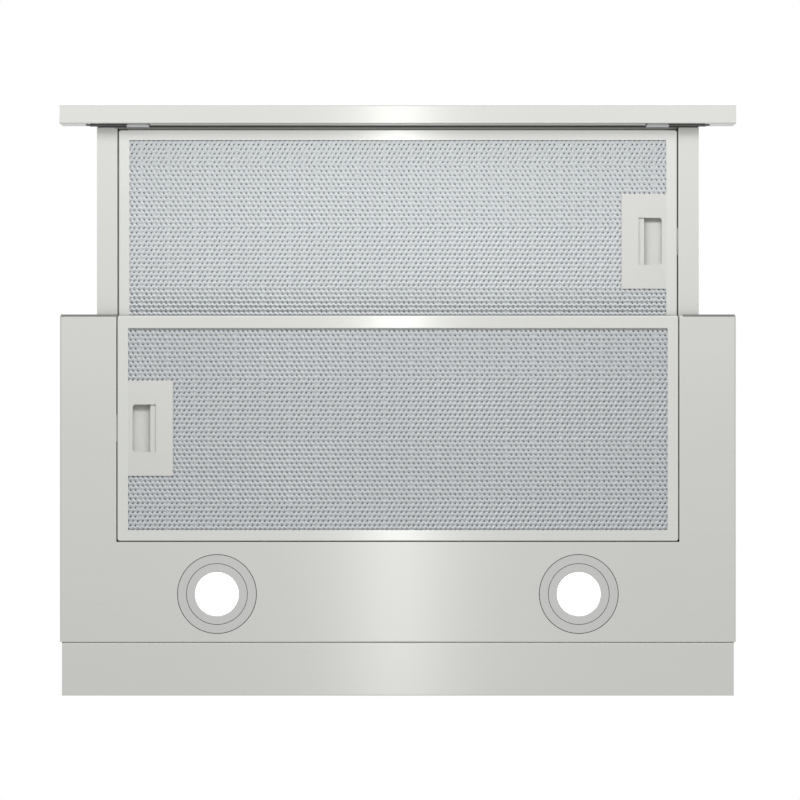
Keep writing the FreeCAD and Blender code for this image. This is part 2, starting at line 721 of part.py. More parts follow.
def motor_bracket():
    """Spider with a clamping ring round the motor and three arms over the inlet."""
    c = wheel_centre()
    x = bracket_plane_x()
    ring = tube(motor_r + 3 * SHEET, motor_r, MOTOR_BOSS, V(x - MOTOR_BOSS, c.y, c.z), X_AXIS)
    arms = []
    for i, place in enumerate(grommet_places()):
        tip = c.y + grommet_circle_r + GROMMET_R
        arm = block(x - ARM_SHEET, x, c.y + motor_r + SHEET, tip, c.z - ARM_WIDTH / 2, c.z + ARM_WIDTH / 2)
        arm.rotate(c, X_AXIS, -90.0 + FULL_TURN * i / MOTOR_ARMS)
        arm = arm.cut(rod(screw_hole_r, 4 * ARM_SHEET, place - X_AXIS * 3 * ARM_SHEET, X_AXIS))
        arms.append(arm)
    return ring.fuse(arms).removeSplitter()


def motor_grommets():
    """Rubber feet between the bracket's arms and the scroll."""
    feet = [tube(GROMMET_R, screw_hole_r, GROMMET_H, place, X_AXIS) for place in grommet_places()]
    return Part.makeCompound(feet)


def motor_screws():
    grip = ARM_SHEET + GROMMET_H - SEAT_GAP
    seats = [place - X_AXIS * ARM_SHEET for place in grommet_places()]
    return Part.makeCompound([screw(seat, X_AXIS, grip) for seat in seats])


# Electrics

def control_box():
    """Moulded box under the casing's top, open below, with ribs."""
    top = -SHEET
    body = rounded_block(box_x - BOX_WIDTH / 2, box_x + BOX_WIDTH / 2, -BOX_DEPTH / 2, BOX_DEPTH / 2,
                         top - BOX_HEIGHT, top, 2 * BOX_WALL)
    hollow = rounded_block(box_x - BOX_WIDTH / 2 + BOX_WALL, box_x + BOX_WIDTH / 2 - BOX_WALL,
                           -BOX_DEPTH / 2 + BOX_WALL, BOX_DEPTH / 2 - BOX_WALL,
                           top - BOX_HEIGHT, top - BOX_WALL, BOX_WALL)
    return body.cut(hollow)


def control_box_lid():
    low = -SHEET - BOX_HEIGHT - BOX_WALL
    lid = rounded_block(box_x - BOX_WIDTH / 2, box_x + BOX_WIDTH / 2, -BOX_DEPTH / 2, BOX_DEPTH / 2,
                        low, low + BOX_WALL, 2 * BOX_WALL)
    inset = BOX_WALL + SEAT_GAP
    tongue = rounded_block(box_x - BOX_WIDTH / 2 + inset, box_x + BOX_WIDTH / 2 - inset,
                           -BOX_DEPTH / 2 + inset, BOX_DEPTH / 2 - inset,
                           low, low + 2 * BOX_WALL, BOX_WALL)
    return lid.fuse(tongue).removeSplitter()


def capacitor():
    can = rod(CAPACITOR_R, CAPACITOR_LENGTH, V(capacitor_x, capacitor_y, -SHEET - CAPACITOR_LENGTH))
    return can.makeFillet(BOX_WALL, [e for e in can.Edges if e.BoundBox.ZMax < -CAPACITOR_LENGTH])


# Slider

def rear_bar_y():
    """Front face of the bar behind the front filter."""
    return front_filter_y + filter_depth / 2 + FILTER_GAP


def slider_frame():
    """Two side channels that hold the front filter, edged under the runners and joined by a rear bar."""
    nest = opening_half + SHEET
    low = slider_z + SHEET
    high = slider_top - 2 * SHEET
    line = [V(nest, 0, slider_z + NEST_HEIGHT), V(nest, 0, low), V(side_x - SHEET, 0, low),
            V(side_x - SHEET, 0, high), V(side_x - SLIDER_TOP_FLANGE, 0, high)]
    channel = folded(line, -SHEET, Y_AXIS * slider_length)
    channel.translate(V(0, slider_front, 0))
    edge = block(side_x - SHEET, slider_half, slider_front, slider_front + slider_length, slider_z, low)
    channel = channel.fuse(edge)
    wall = rear_bar_y() + SHEET
    line = [V(0, wall, slider_z + REAR_BAR_HEIGHT), V(0, wall, low), V(0, wall + REAR_BAR_FOOT, low)]
    reach = opening_half + SHEET / 2
    bar = folded(line, SHEET, X_AXIS * 2 * reach)
    bar.translate(V(-reach, 0, 0))
    frame = bar.fuse([channel, mirror_x(channel)])
    return frame.cut(filter_notches(1, front_filter_y, slider_z)).removeSplitter()


def strip_screw_places():
    """Screw seats inside the slider's front flange."""
    z = slider_top - STRIP_SCREW_DROP
    return [V(side * x, slider_front, z) for side in (-1, 1) for x in STRIP_SCREW_X]


def slider_top_panel():
    """Folded cover over the front filter, turned down behind the strip."""
    rear = rear_bar_y() + SHEET + REAR_BAR_FOOT
    line = [V(0, slider_front, slider_top - SLIDER_FRONT_DROP), V(0, slider_front, slider_top - SHEET),
            V(0, rear, slider_top - SHEET)]
    panel = folded(line, -SHEET, X_AXIS * slider_width)
    panel.translate(V(-slider_half, 0, 0))
    for place in strip_screw_places():
        panel = panel.cut(rod(screw_hole_r, 3 * SHEET, place - Y_AXIS * 2 * SHEET, Y_AXIS))
    return panel


# Runners, right-hand side

def runner_section(x_open, x_web, inside, sheet, start, length):
    """A channel lying on its side: arms from x_open to the web, inside half-height given."""
    line = [V(x_open, start, runner_z + inside), V(x_web, start, runner_z + inside),
            V(x_web, start, runner_z - inside), V(x_open, start, runner_z - inside)]
    away = -sheet if x_web < x_open else sheet
    return folded(line, away, Y_AXIS * length)


def inner_runner_half():
    """Half height of the inner runner, under the balls."""
    return runner_height / 2 - RUNNER_SHEET - BALL_D


def runner_arm_end():
    return side_x + (RUNNER_DEPTH + BALL_D) / 2


def outer_runner():
    x_web = side_x + RUNNER_DEPTH - RUNNER_SHEET
    return runner_section(side_x + RUNNER_SHEET + RUN_GAP, x_web, runner_height / 2 - RUNNER_SHEET,
                          RUNNER_SHEET, front_y + RUNNER_SETBACK, runner_length)


def inner_runner():
    return runner_section(runner_arm_end(), side_x + RUNNER_SHEET, inner_runner_half() - RUNNER_SHEET,
                          RUNNER_SHEET, slider_front + SHEET, inner_runner_length)


def ball_cage():
    """Cage strip with two rows of balls."""
    row_z = inner_runner_half() + BALL_D / 2
    start = front_y + RUNNER_SETBACK + RUN_GAP
    x_web = runner_arm_end() + CAGE_SHEET
    x_ball = (side_x + RUNNER_SHEET + RUN_GAP + runner_arm_end()) / 2
    cage = runner_section(x_ball - CAGE_WRAP, x_web, row_z - CAGE_SHEET / 2, CAGE_SHEET, start, CAGE_LENGTH)
    balls = []
    for i in range(BALLS_PER_ROW):
        y = start + CAGE_LENGTH * (i + 0.5) / BALLS_PER_ROW
        for side in (-1, 1):
            place = V(x_ball, y, runner_z + side * row_z)
            cage = cage.cut(rod(BALL_D / 2 + BALL_PLAY, 4 * CAGE_SHEET, place - Z_AXIS * 2 * CAGE_SHEET))
            balls.append(Part.makeSphere(BALL_D / 2 - BALL_PLAY, place))
    return Part.makeCompound([cage] + balls)


# Front strip

def strip_reach():
    """Half length of the strip between its end caps."""
    return half - STRIP_WALL


def button_window():
    """Left, right, low and high edges of the window for the button panel."""
    left = button_x - BUTTON_WIDTH / 2 - PANEL_EDGE
    right = button_x + BUTTON_PITCH * (len(BUTTONS) - 1) + BUTTON_WIDTH / 2 + PANEL_EDGE
    middle = floor_z + BUTTON_LEVEL
    tall = BUTTON_HEIGHT / 2 + PANEL_EDGE
    return left, right, middle - tall, middle + tall


def front_strip():
    """Hollow drawn profile, cut open behind for the hooks and in front for the buttons."""
    reach = strip_reach()
    outer = block(-reach, reach, strip_front, strip_rear, strip_z, strip_z + STRIP_HEIGHT)
    long_edges = [e for e in outer.Edges if e.BoundBox.XLength > reach]
    outer = outer.makeFillet(STRIP_EDGE, long_edges)
    strip = outer.cut(block(-reach, reach, strip_front + STRIP_WALL, strip_rear - STRIP_WALL,
                            strip_z + STRIP_WALL, strip_z + STRIP_HEIGHT - STRIP_WALL))
    cut = block(strip_cut_inner, strip_cut_outer, strip_rear - 2 * STRIP_WALL, strip_rear + STRIP_WALL,
                strip_z + STRIP_WALL, strip_z + STRIP_CUT_HEIGHT)
    strip = strip.cut(both_sides(cut))
    left, right, low, high = button_window()
    strip = strip.cut(rounded_window(left, right, low, high, strip_front - STRIP_WALL, 3 * STRIP_WALL))
    for place in strip_screw_places():
        through = 3 * STRIP_WALL
        strip = strip.cut(rod(screw_hole_r, through, place - Y_AXIS * through, Y_AXIS))
    return strip.removeSplitter()


def rounded_window(left, right, low, high, y, depth):
    """An upright block with its four edges along Y rounded."""
    body = block(left, right, y, y + depth, low, high)
    return body.makeFillet(WINDOW_CORNER, [e for e in body.Edges if abs(e.BoundBox.YLength - depth) < 1e-6])


def strip_end_caps():
    """Caps that close the strip's two ends, each with a plug inside the profile."""
    reach = strip_reach()
    cap = block(reach, half, strip_front, strip_rear, strip_z, strip_z + STRIP_HEIGHT)
    cap = cap.makeFillet(STRIP_EDGE, [e for e in cap.Edges if e.BoundBox.XLength > SEAT_GAP])
    inset = STRIP_WALL + SEAT_GAP / 2
    plug = block(reach - 4 * STRIP_WALL, reach, strip_front + inset, strip_rear - inset,
                 strip_z + inset, strip_z + STRIP_HEIGHT - inset)
    hollow = block(reach - 4 * STRIP_WALL, reach, strip_front + inset + STRIP_WALL,
                   strip_rear - inset - STRIP_WALL, strip_z + inset + STRIP_WALL,
                   strip_z + STRIP_HEIGHT - inset - STRIP_WALL)
    return both_sides(cap.fuse(plug.cut(hollow)).removeSplitter())


def strip_hooks():
    """Formed hooks on the slider's front flange that reach into the strip."""
    low = floor_z + HOOK_FOOT_LEVEL
    leg = block(hook_centre - HOOK_WIDTH / 2, hook_centre + HOOK_WIDTH / 2, slider_front, hook_rear,
                low, slider_top - 2 * STRIP_SCREW_DROP)
    nose = strip_rear - 2 * STRIP_WALL
    foot = face_of([V(hook_centre - HOOK_NOSE_WIDTH / 2, nose, low),
                    V(hook_centre + HOOK_NOSE_WIDTH / 2, nose, low),
                    V(hook_centre + HOOK_WIDTH / 2, hook_rear, low),
                    V(hook_centre - HOOK_WIDTH / 2, hook_rear, low)]).extrude(Z_AXIS * HOOK_SHEET)
    return both_sides(leg.fuse(foot).removeSplitter())


def strip_screws():
    grip = SHEET + STRIP_WALL + 2 * SCREW_R
    return Part.makeCompound([screw(place, V(0, -1, 0), grip) for place in strip_screw_places()])


# Push buttons

def button_middle(i):
    return button_x + i * BUTTON_PITCH


def panel_back():
    """Rear face of the button panel's flange."""
    return strip_front + STRIP_WALL + PANEL_SHEET


def board_front():
    """Front face of the switch board, past the buttons' travel."""
    stem = panel_back() + SEAT_GAP + PANEL_SHEET + STRIP_WALL
    return stem + BUTTON_TRAVEL + SEAT_GAP


def button_panel():
    """Moulded panel in the strip's window, with a flange behind it and two pegs."""
    left, right, low, high = button_window()
    gap = SEAT_GAP / 2
    lap = PANEL_SHEET
    panel = rounded_window(left + gap, right - gap, low + gap, high - gap, strip_front, STRIP_WALL)
    flange = rounded_window(left - lap, right + lap, low - lap, high + lap,
                            strip_front + STRIP_WALL, PANEL_SHEET)
    panel = panel.fuse(flange)
    middle = floor_z + BUTTON_LEVEL
    for i in range(len(BUTTONS)):
        x = button_middle(i)
        reach = BUTTON_WIDTH / 2 + BUTTON_PLAY
        tall = BUTTON_HEIGHT / 2 + BUTTON_PLAY
        hole = rounded_window(x - reach, x + reach, middle - tall, middle + tall,
                              strip_front - STRIP_WALL, 4 * STRIP_WALL)
        panel = panel.cut(hole)
    peg = board_front() - panel_back()
    for x in (left, right):
        panel = panel.fuse(rod(PANEL_SHEET, peg, V(x, panel_back(), middle), Y_AXIS))
    return panel.removeSplitter()


def button(i):
    """One push button: domed cap, flange behind the panel and a stem to the board."""
    x = button_middle(i)
    middle = floor_z + BUTTON_LEVEL
    face = strip_front + BUTTON_SINK
    back = panel_back() + SEAT_GAP
    reach = BUTTON_WIDTH / 2
    tall = BUTTON_HEIGHT / 2
    cap = rounded_window(x - reach, x + reach, middle - tall, middle + tall, face, back - face)
    front_edges = [e for e in cap.Edges if e.BoundBox.YMax < face + SEAT_GAP]
    cap = cap.makeFillet(BUTTON_EDGE, front_edges)
    lap = PANEL_SHEET
    flange = rounded_window(x - reach - lap, x + reach + lap, middle - tall - lap, middle + tall + lap,
                            back, PANEL_SHEET)
    stem = rod(PANEL_SHEET, STRIP_WALL, V(x, back + PANEL_SHEET, middle), Y_AXIS)
    return cap.fuse([flange, stem]).removeSplitter()


def switch_board():
    left, right, low, high = button_window()
    front = board_front()
    return block(left - PANEL_SHEET, right + PANEL_SHEET, front, front + BOARD_SHEET, low, high)


# Filters, each made with its latch on the right and turned round where it lies to the left

def frame_inner_x():
    """Inner edge of the filter frame's border."""
    return filter_width / 2 - FRAME_BORDER


def along(u0, u1, w0, w1, z0, z1):
    """A block placed by its distance inwards from the frame's border on the latch side."""
    edge = frame_inner_x()
    return block(edge - u1, edge - u0, w0, w1, z0, z1)


def latch_low():
    return HANDLE_SHEET + SEAT_GAP


def latch_top():
    return latch_low() + LATCH_SHEET


def lip_start():
    return POCKET_EDGE + POCKET_LENGTH


def lip_end():
    return lip_start() + LIP_SHOWN + LATCH_SHEET


def filter_frame():
    """Channel section frame, open inwards, with two tabs and a slot for the tongue."""
    hx = filter_width / 2
    hy = filter_depth / 2
    border = FRAME_BORDER
    frame = rounded_block(-hx, hx, -hy, hy, 0, FILTER_THICK, FILTER_CORNER)
    frame = frame.makeFillet(FRAME_EDGE, [e for e in frame.Edges if e.BoundBox.ZMax < FRAME_SHEET])
    frame = frame.cut(block(-hx + border, hx - border, -hy + border, hy - border,
                            -OVERCUT, FILTER_THICK + OVERCUT))
    frame = frame.cut(block(-hx + FRAME_SHEET, hx - FRAME_SHEET, -hy + FRAME_SHEET, hy - FRAME_SHEET,
                            FRAME_SHEET, FILTER_THICK - FRAME_SHEET))
    slot = TONGUE_WIDTH / 2 + SEAT_GAP
    frame = frame.cut(block(hx - 2 * FRAME_SHEET, hx + FRAME_SHEET, -slot, slot,
                            latch_low() - SEAT_GAP, latch_top() + SEAT_GAP))
    for step in (-0.5, 0.5):
        y = step * TAB_SPACING
        tab = block(-hx - TAB_LENGTH, -hx + 2 * TAB_LENGTH, y - TAB_WIDTH / 2, y + TAB_WIDTH / 2,
                    FILTER_THICK - FRAME_SHEET, FILTER_THICK)
        frame = frame.fuse(tab)
    return frame.removeSplitter()


def handle_bay(low, high):
    """Room that the mesh and the core leave for the handle."""
    return along(-FRAME_BORDER, HANDLE_LENGTH + SEAT_GAP, -HANDLE_WIDTH / 2 - SEAT_GAP,
                 HANDLE_WIDTH / 2 + SEAT_GAP, low, high)


def filter_mesh():
    """Expanded sheet that lies on the frame's lower border."""
    hx = frame_inner_x() + MESH_TUCK
    hy = filter_depth / 2 - FRAME_BORDER + MESH_TUCK
    sheet = block(-hx, hx, -hy, hy, FRAME_SHEET, FRAME_SHEET + MESH_SHEET)
    return sheet.cut(handle_bay(0, FILTER_THICK))


def filter_core():
    """Pleated sheet between the mesh and the frame's upper border."""
    low = FRAME_SHEET + MESH_SHEET
    high = FILTER_THICK - FRAME_SHEET - PLEAT_SHEET
    hx = frame_inner_x() + MESH_TUCK
    hy = filter_depth / 2 - FRAME_BORDER + MESH_TUCK
    count = int(2 * hx / PLEAT_PITCH)
    start = -count * PLEAT_PITCH / 2
    line = []
    for i in range(count):
        x = start + i * PLEAT_PITCH
        line += [V(x, -hy, low), V(x + PLEAT_PITCH / 2, -hy, high)]
    line.append(V(start + count * PLEAT_PITCH, -hy, low))
    raised = [p + Z_AXIS * PLEAT_SHEET for p in reversed(line)]
    core = face_of(line + raised).extrude(Y_AXIS * 2 * hy)
    return core.cut(handle_bay(0, FILTER_THICK))


def filter_handle():
    """Handle plate with its finger pocket, a cut for the latch and a stop for the spring."""
    hw = HANDLE_WIDTH / 2
    plate = along(0, HANDLE_LENGTH, -hw, hw, 0, HANDLE_SHEET)
    pocket_end = lip_start() + POCKET_UNDERCUT
    pw = POCKET_WIDTH / 2
    wall = POCKET_WALL
    floor = POCKET_DEPTH
    tub = along(POCKET_EDGE - wall, pocket_end + wall, -pw - wall, pw + wall, 0, floor + wall)
    hollow = along(POCKET_EDGE, pocket_end, -pw, pw, -OVERCUT, floor)
    hollow = hollow.makeFillet(POCKET_CORNER, [e for e in hollow.Edges if e.BoundBox.ZLength > floor])
    opening = along(POCKET_EDGE, lip_start() + LIP_SHOWN, -pw, pw, -OVERCUT, HANDLE_SHEET)
    outer_edges = [e for e in opening.Edges if e.BoundBox.ZLength > HANDLE_SHEET
                   and e.BoundBox.XMin > frame_inner_x() - lip_start()]
    opening = opening.makeFillet(POCKET_CORNER, outer_edges)
    way = along(lip_start() - SEAT_GAP, HANDLE_LENGTH, -hw, hw, HANDLE_SHEET, latch_top() + SEAT_GAP)
    handle = plate.fuse(tub.cut(way)).cut([hollow, opening])
    stop = along(HANDLE_LENGTH - SPRING_STOP, HANDLE_LENGTH, -pw, pw, 0, latch_top() + SEAT_GAP)
    return handle.fuse(stop).removeSplitter()


def filter_latch():
    """Ring-shaped slide: lip under the finger, two arms past the pocket, a bar and the tongue."""
    low = latch_low()
    top = latch_top()
    inner = POCKET_WIDTH / 2 + POCKET_WALL + SEAT_GAP
    outer = inner + LATCH_ARM
    bar_end = POCKET_EDGE - POCKET_WALL - SEAT_GAP - LATCH_TRAVEL
    ring = along(bar_end - LATCH_BAR, lip_end(), -outer, outer, low, top)
    ring = ring.cut(along(bar_end, lip_start(), -inner, inner, low - OVERCUT, top + OVERCUT))
    reach = FRAME_BORDER + FILTER_GAP + TONGUE_REACH
    tongue = along(-reach, bar_end - SEAT_GAP, -TONGUE_WIDTH / 2, TONGUE_WIDTH / 2, low, top)
    end = frame_inner_x() + reach - SEAT_GAP
    tip = [e for e in tongue.Edges if e.BoundBox.ZLength > SEAT_GAP and e.BoundBox.XMin > end]
    tongue = tongue.makeFillet(FILTER_CORNER, tip)
    return ring.fuse(tongue).removeSplitter()


def filter_spring():
    """Bowed leaf between the latch's lip and the stop on the handle."""
    edge = frame_inner_x()
    crown = edge - lip_end() - SEAT_GAP / 2
    seat = edge - (HANDLE_LENGTH - SPRING_STOP) + SEAT_GAP / 2
    low = latch_low()
    reach = SPRING_SPAN / 2

    def bow(inset):
        ends = reach - inset
        return Part.Arc(V(seat, -ends, low), V(crown - inset, 0, low), V(seat, ends, low))

    outside = bow(0)
    inside = bow(SPRING_SHEET)
    edges = [outside.toShape(), Part.LineSegment(outside.EndPoint, inside.EndPoint).toShape(),
             inside.toShape(), Part.LineSegment(inside.StartPoint, outside.StartPoint).toShape()]
    return Part.Face(Part.Wire(Part.__sortEdges__(edges))).extrude(Z_AXIS * LATCH_SHEET)


def set_filter(shape, side, centre_y, level):
    """Put a filter piece in its place, with its latch on the given side."""
    shape = shape.copy() if side > 0 else mirror_x(shape)
    shape.translate(V(0, centre_y, level))
    return shape


# Lamps, right-hand side

def lamp_turned(points):
    """A solid turned about the right lamp's axis from a section given as radius and height."""
    section = face_of([V(r, 0, z) for r, z in points])
    turned = section.revolve(V(), Z_AXIS, FULL_TURN)
    turned.translate(V(lamp_x, lamp_y, floor_z))
    return turned


def lamp_bezel():
    """Flush ring with a sleeve through the tray."""
    outer = BEZEL_D / 2
    sleeve = SLEEVE_D / 2
    bore = RING_D / 2 + BEZEL_GROOVE
    inner = sleeve - LAMP_WALL
    top = LAMP_BODY_HEIGHT / 2
    return lamp_turned([(bore, -BEZEL_STEP), (outer - BEZEL_CHAMFER, -BEZEL_STEP),
                        (outer, BEZEL_CHAMFER - BEZEL_STEP), (outer, 0), (sleeve, 0), (sleeve, top),
                        (inner, top), (inner, LAMP_WALL), (bore, LAMP_WALL)])


def lamp_ring():
    """Retaining ring round the lens, set back from the bezel."""
    r = RING_D / 2
    lens = LENS_D / 2
    step = BEZEL_STEP / 2
    seat = LAMP_WALL - step
    lap = lens - LAMP_WALL
    return lamp_turned([(lens, 0), (lens + BEZEL_STEP, -step), (r, -step), (r, LAMP_WALL),
                        (lap, LAMP_WALL), (lap, seat), (lens, seat)])


def lamp_lens():
    """Shallow frosted disc."""
    r = LENS_D / 2
    return lamp_turned([(0, -BEZEL_STEP / 3), (r - BEZEL_STEP, -BEZEL_STEP / 3), (r, 0),
                        (r, LAMP_WALL - BEZEL_STEP / 2), (0, LAMP_WALL - BEZEL_STEP / 2)])


def lamp_body():
    """Lamp housing with cooling fins cut into its upper part."""
    r = SLEEVE_D / 2 - LAMP_WALL - SEAT_GAP
    body = lamp_turned([(0, LAMP_WALL), (r, LAMP_WALL), (r, LAMP_BODY_HEIGHT), (0, LAMP_BODY_HEIGHT)])
    centre = V(lamp_x, lamp_y, floor_z)
    low = LAMP_BODY_HEIGHT / 2 + LAMP_WALL
    cuts = []
    for i in range(LAMP_FINS):
        slot = block(r / 3, r + OVERCUT, -LAMP_WALL / 2, LAMP_WALL / 2, low, LAMP_BODY_HEIGHT + OVERCUT)
        slot.rotate(V(), Z_AXIS, FULL_TURN * i / LAMP_FINS)
        slot.translate(centre)
        cuts.append(slot)
    return body.cut(cuts)


def spacer_screws():
    grip = 2 * SHEET + SCREW_R
    return Part.makeCompound([screw(place, V(0, -1, 0), grip) for place in spacer_screw_places()])


def casing_screws():
    """Screws through the casing's flange and the top plate into the tray's rim."""
    grip = 3 * SHEET - SEAT_GAP
    return Part.makeCompound([screw(place, V(0, 0, -1), grip) for place in casing_screw_places()])


def bracket_screws():
    grip = BRACKET_SHEET + SHEET + SCREW_R
    right = Part.makeCompound([screw(place, V(-1, 0, 0), grip) for place in bracket_screw_places()])
    return both_sides(right)


def collar_screws():
    grip = COLLAR_FLANGE_SHEET + SHEET + SCREW_R
    return Part.makeCompound([screw(place, V(0, 0, -1), grip) for place in collar_screw_places()])


def with_screw_holes(shape):
    """Clear holes for the casing's screws."""
    for place in casing_screw_places():
        shape = shape.cut(rod(screw_hole_r, 5 * SHEET, place - Z_AXIS * 4 * SHEET))
    return shape


def main():
    os.makedirs("parts", exist_ok=True)
    save("canopy_tray", with_screw_holes(canopy_tray()))
    save("top_plate", with_screw_holes(top_plate()))
    for make in (rear_spacer, spacer_screws, upper_casing, casing_screws, bracket_screws, outlet_collar,
                 collar_screws, flap_pin, cable_gland, impeller, motor_shaft, motor, motor_bracket,
                 motor_grommets, motor_screws, control_box, control_box_lid, capacitor, slider_frame,
                 slider_top_panel, front_strip, strip_end_caps, strip_hooks, strip_screws, button_panel,
                 switch_board):
        save(make.__name__, make())
    save("flap_front", flap(-1))
    save("flap_rear", flap(1))
    for make, name in ((runner_bracket, "runner_brackets"), (cabinet_bracket, "cabinet_brackets"),
                       (outer_runner, "outer_runners"), (inner_runner, "inner_runners"),
                       (lamp_bezel, "lamp_bezels"), (lamp_ring, "lamp_rings"),
                       (lamp_lens, "lamp_lenses"), (lamp_body, "lamp_bodies")):
        save(name, both_sides(make()))
    cage = ball_cage()
    save("ball_cage_right", cage)
    save("ball_cage_left", mirror_x(cage))
    half_scroll = scroll_half()
    save("scroll_right", half_scroll)
    save("scroll_left", mirror_x(half_scroll))
    for i, name in enumerate(BUTTONS):
        save(f"button_{name}", button(i))
    for make in (filter_frame, filter_mesh, filter_core, filter_handle, filter_latch, filter_spring):
        shape = make()
        save(f"front_{make.__name__}", set_filter(shape, 1, front_filter_y, slider_z))
        save(f"rear_{make.__name__}", set_filter(shape, -1, rear_filter_y, floor_z))


if __name__ == "__main__":
    main()
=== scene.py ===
"""Telescopic range hood: its finishes, filter mesh, screws and lamps, on a plain studio stage."""
import json
import math

import bmesh
import bpy
from bpy.props import FloatProperty, FloatVectorProperty, IntProperty, PointerProperty
from mathutils import Matrix, Vector

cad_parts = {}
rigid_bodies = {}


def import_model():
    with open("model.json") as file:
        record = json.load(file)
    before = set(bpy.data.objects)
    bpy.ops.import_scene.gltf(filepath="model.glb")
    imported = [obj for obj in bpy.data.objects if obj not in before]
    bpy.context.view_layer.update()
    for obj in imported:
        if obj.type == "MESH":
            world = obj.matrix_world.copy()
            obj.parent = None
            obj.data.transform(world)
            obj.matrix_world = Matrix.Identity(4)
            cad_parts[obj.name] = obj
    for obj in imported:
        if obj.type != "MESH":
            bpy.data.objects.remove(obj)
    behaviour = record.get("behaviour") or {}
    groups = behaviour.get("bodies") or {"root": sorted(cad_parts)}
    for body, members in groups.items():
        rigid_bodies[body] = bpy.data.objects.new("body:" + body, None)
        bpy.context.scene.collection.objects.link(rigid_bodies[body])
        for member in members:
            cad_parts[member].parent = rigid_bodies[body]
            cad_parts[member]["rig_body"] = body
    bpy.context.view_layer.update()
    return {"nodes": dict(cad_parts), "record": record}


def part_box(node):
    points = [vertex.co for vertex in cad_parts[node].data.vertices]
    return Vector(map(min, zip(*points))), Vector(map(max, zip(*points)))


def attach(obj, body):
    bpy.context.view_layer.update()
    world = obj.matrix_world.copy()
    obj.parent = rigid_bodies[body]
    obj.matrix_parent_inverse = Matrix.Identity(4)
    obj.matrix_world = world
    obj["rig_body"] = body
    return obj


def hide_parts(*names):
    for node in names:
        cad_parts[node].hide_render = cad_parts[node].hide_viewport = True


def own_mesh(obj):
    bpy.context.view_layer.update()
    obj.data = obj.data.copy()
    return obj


bl_info = {
    "name": "Telescopic Range Hood",
    "version": (1, 0, 0),
    "blender": (4, 5, 0),
    "location": "View3D > Sidebar > Hood",
    "description": "Dresses a built-in range hood: sheet metal, filter mesh, screws, lamps and stage",
    "category": "Object",
}

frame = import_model()
nodes = frame["nodes"]
SLOT_OF = {row["node"]: row["material_slot"] for row in frame["record"]["subparts"]}


def length(name, default, description):
    return FloatProperty(name=name, default=default, description=description,
                         subtype="DISTANCE", unit="LENGTH")


def power(name, default, description):
    return FloatProperty(name=name, default=default, description=description,
                         subtype="POWER", unit="POWER")


def share(name, default, description):
    return FloatProperty(name=name, default=default, description=description,
                         subtype="FACTOR", min=0.0, max=1.0)


def colour(name, default, description):
    return FloatVectorProperty(name=name, default=default, description=description,
                               subtype="COLOR", size=3, min=0.0, max=1.0)


class HoodMeshSizes(bpy.types.PropertyGroup):
    """Sizes of the expanded metal in the grease filters"""
    pitch: length("Pitch", 0.00432, "From hole to hole along the width")
    row_pitch: length("Row Pitch", 0.00391, "From one row of holes to the next")
    sheet: length("Sheet", 0.00025, "Thickness of the strands")
    depth: length("Depth", 0.0008, "How far the strands dip beside a hole")
    bond: length("Bond Depth", 0.00055, "How far the bonds between two holes of a row dip")
    hole_long: length("Hole Length", 0.00112, "Half of a hole's longer way")
    hole_short: length("Hole Width", 0.0006, "Half of a hole's shorter way")
    hole_turn: FloatProperty(name="Hole Turn", default=math.radians(52), description="Lean of the holes",
                             subtype="ANGLE", unit="ROTATION")
    band_rows: IntProperty(name="Band Rows", default=14, description="Rows before the lean changes side")
    front_band: length("Front Band", -0.0123, "Start of a band in the front filter, from its middle")
    rear_band: length("Rear Band", -0.0440, "Start of a band in the rear filter, from its middle")
    bay_edge: share("Bay Edge", 0.35, "Part of a step by which the mesh runs in under the handle")


class HoodScrewSizes(bpy.types.PropertyGroup):
    """Sizes of the pan-head screws"""
    head_r: length("Head Radius", 0.004, "Radius of the head")
    head_h: length("Head Height", 0.0022, "Height of the head")
    rim_h: length("Rim Height", 0.0003, "Height of the head's upright rim")
    drive_r: length("Drive Radius", 0.0022, "Reach of the cross recess")
    drive_w: length("Drive Width", 0.0009, "Width of the cross recess")
    drive_d: length("Drive Depth", 0.0012, "Depth of the cross recess")
    drive_taper: share("Drive Taper", 0.7, "Size of the recess at its floor, against its mouth")


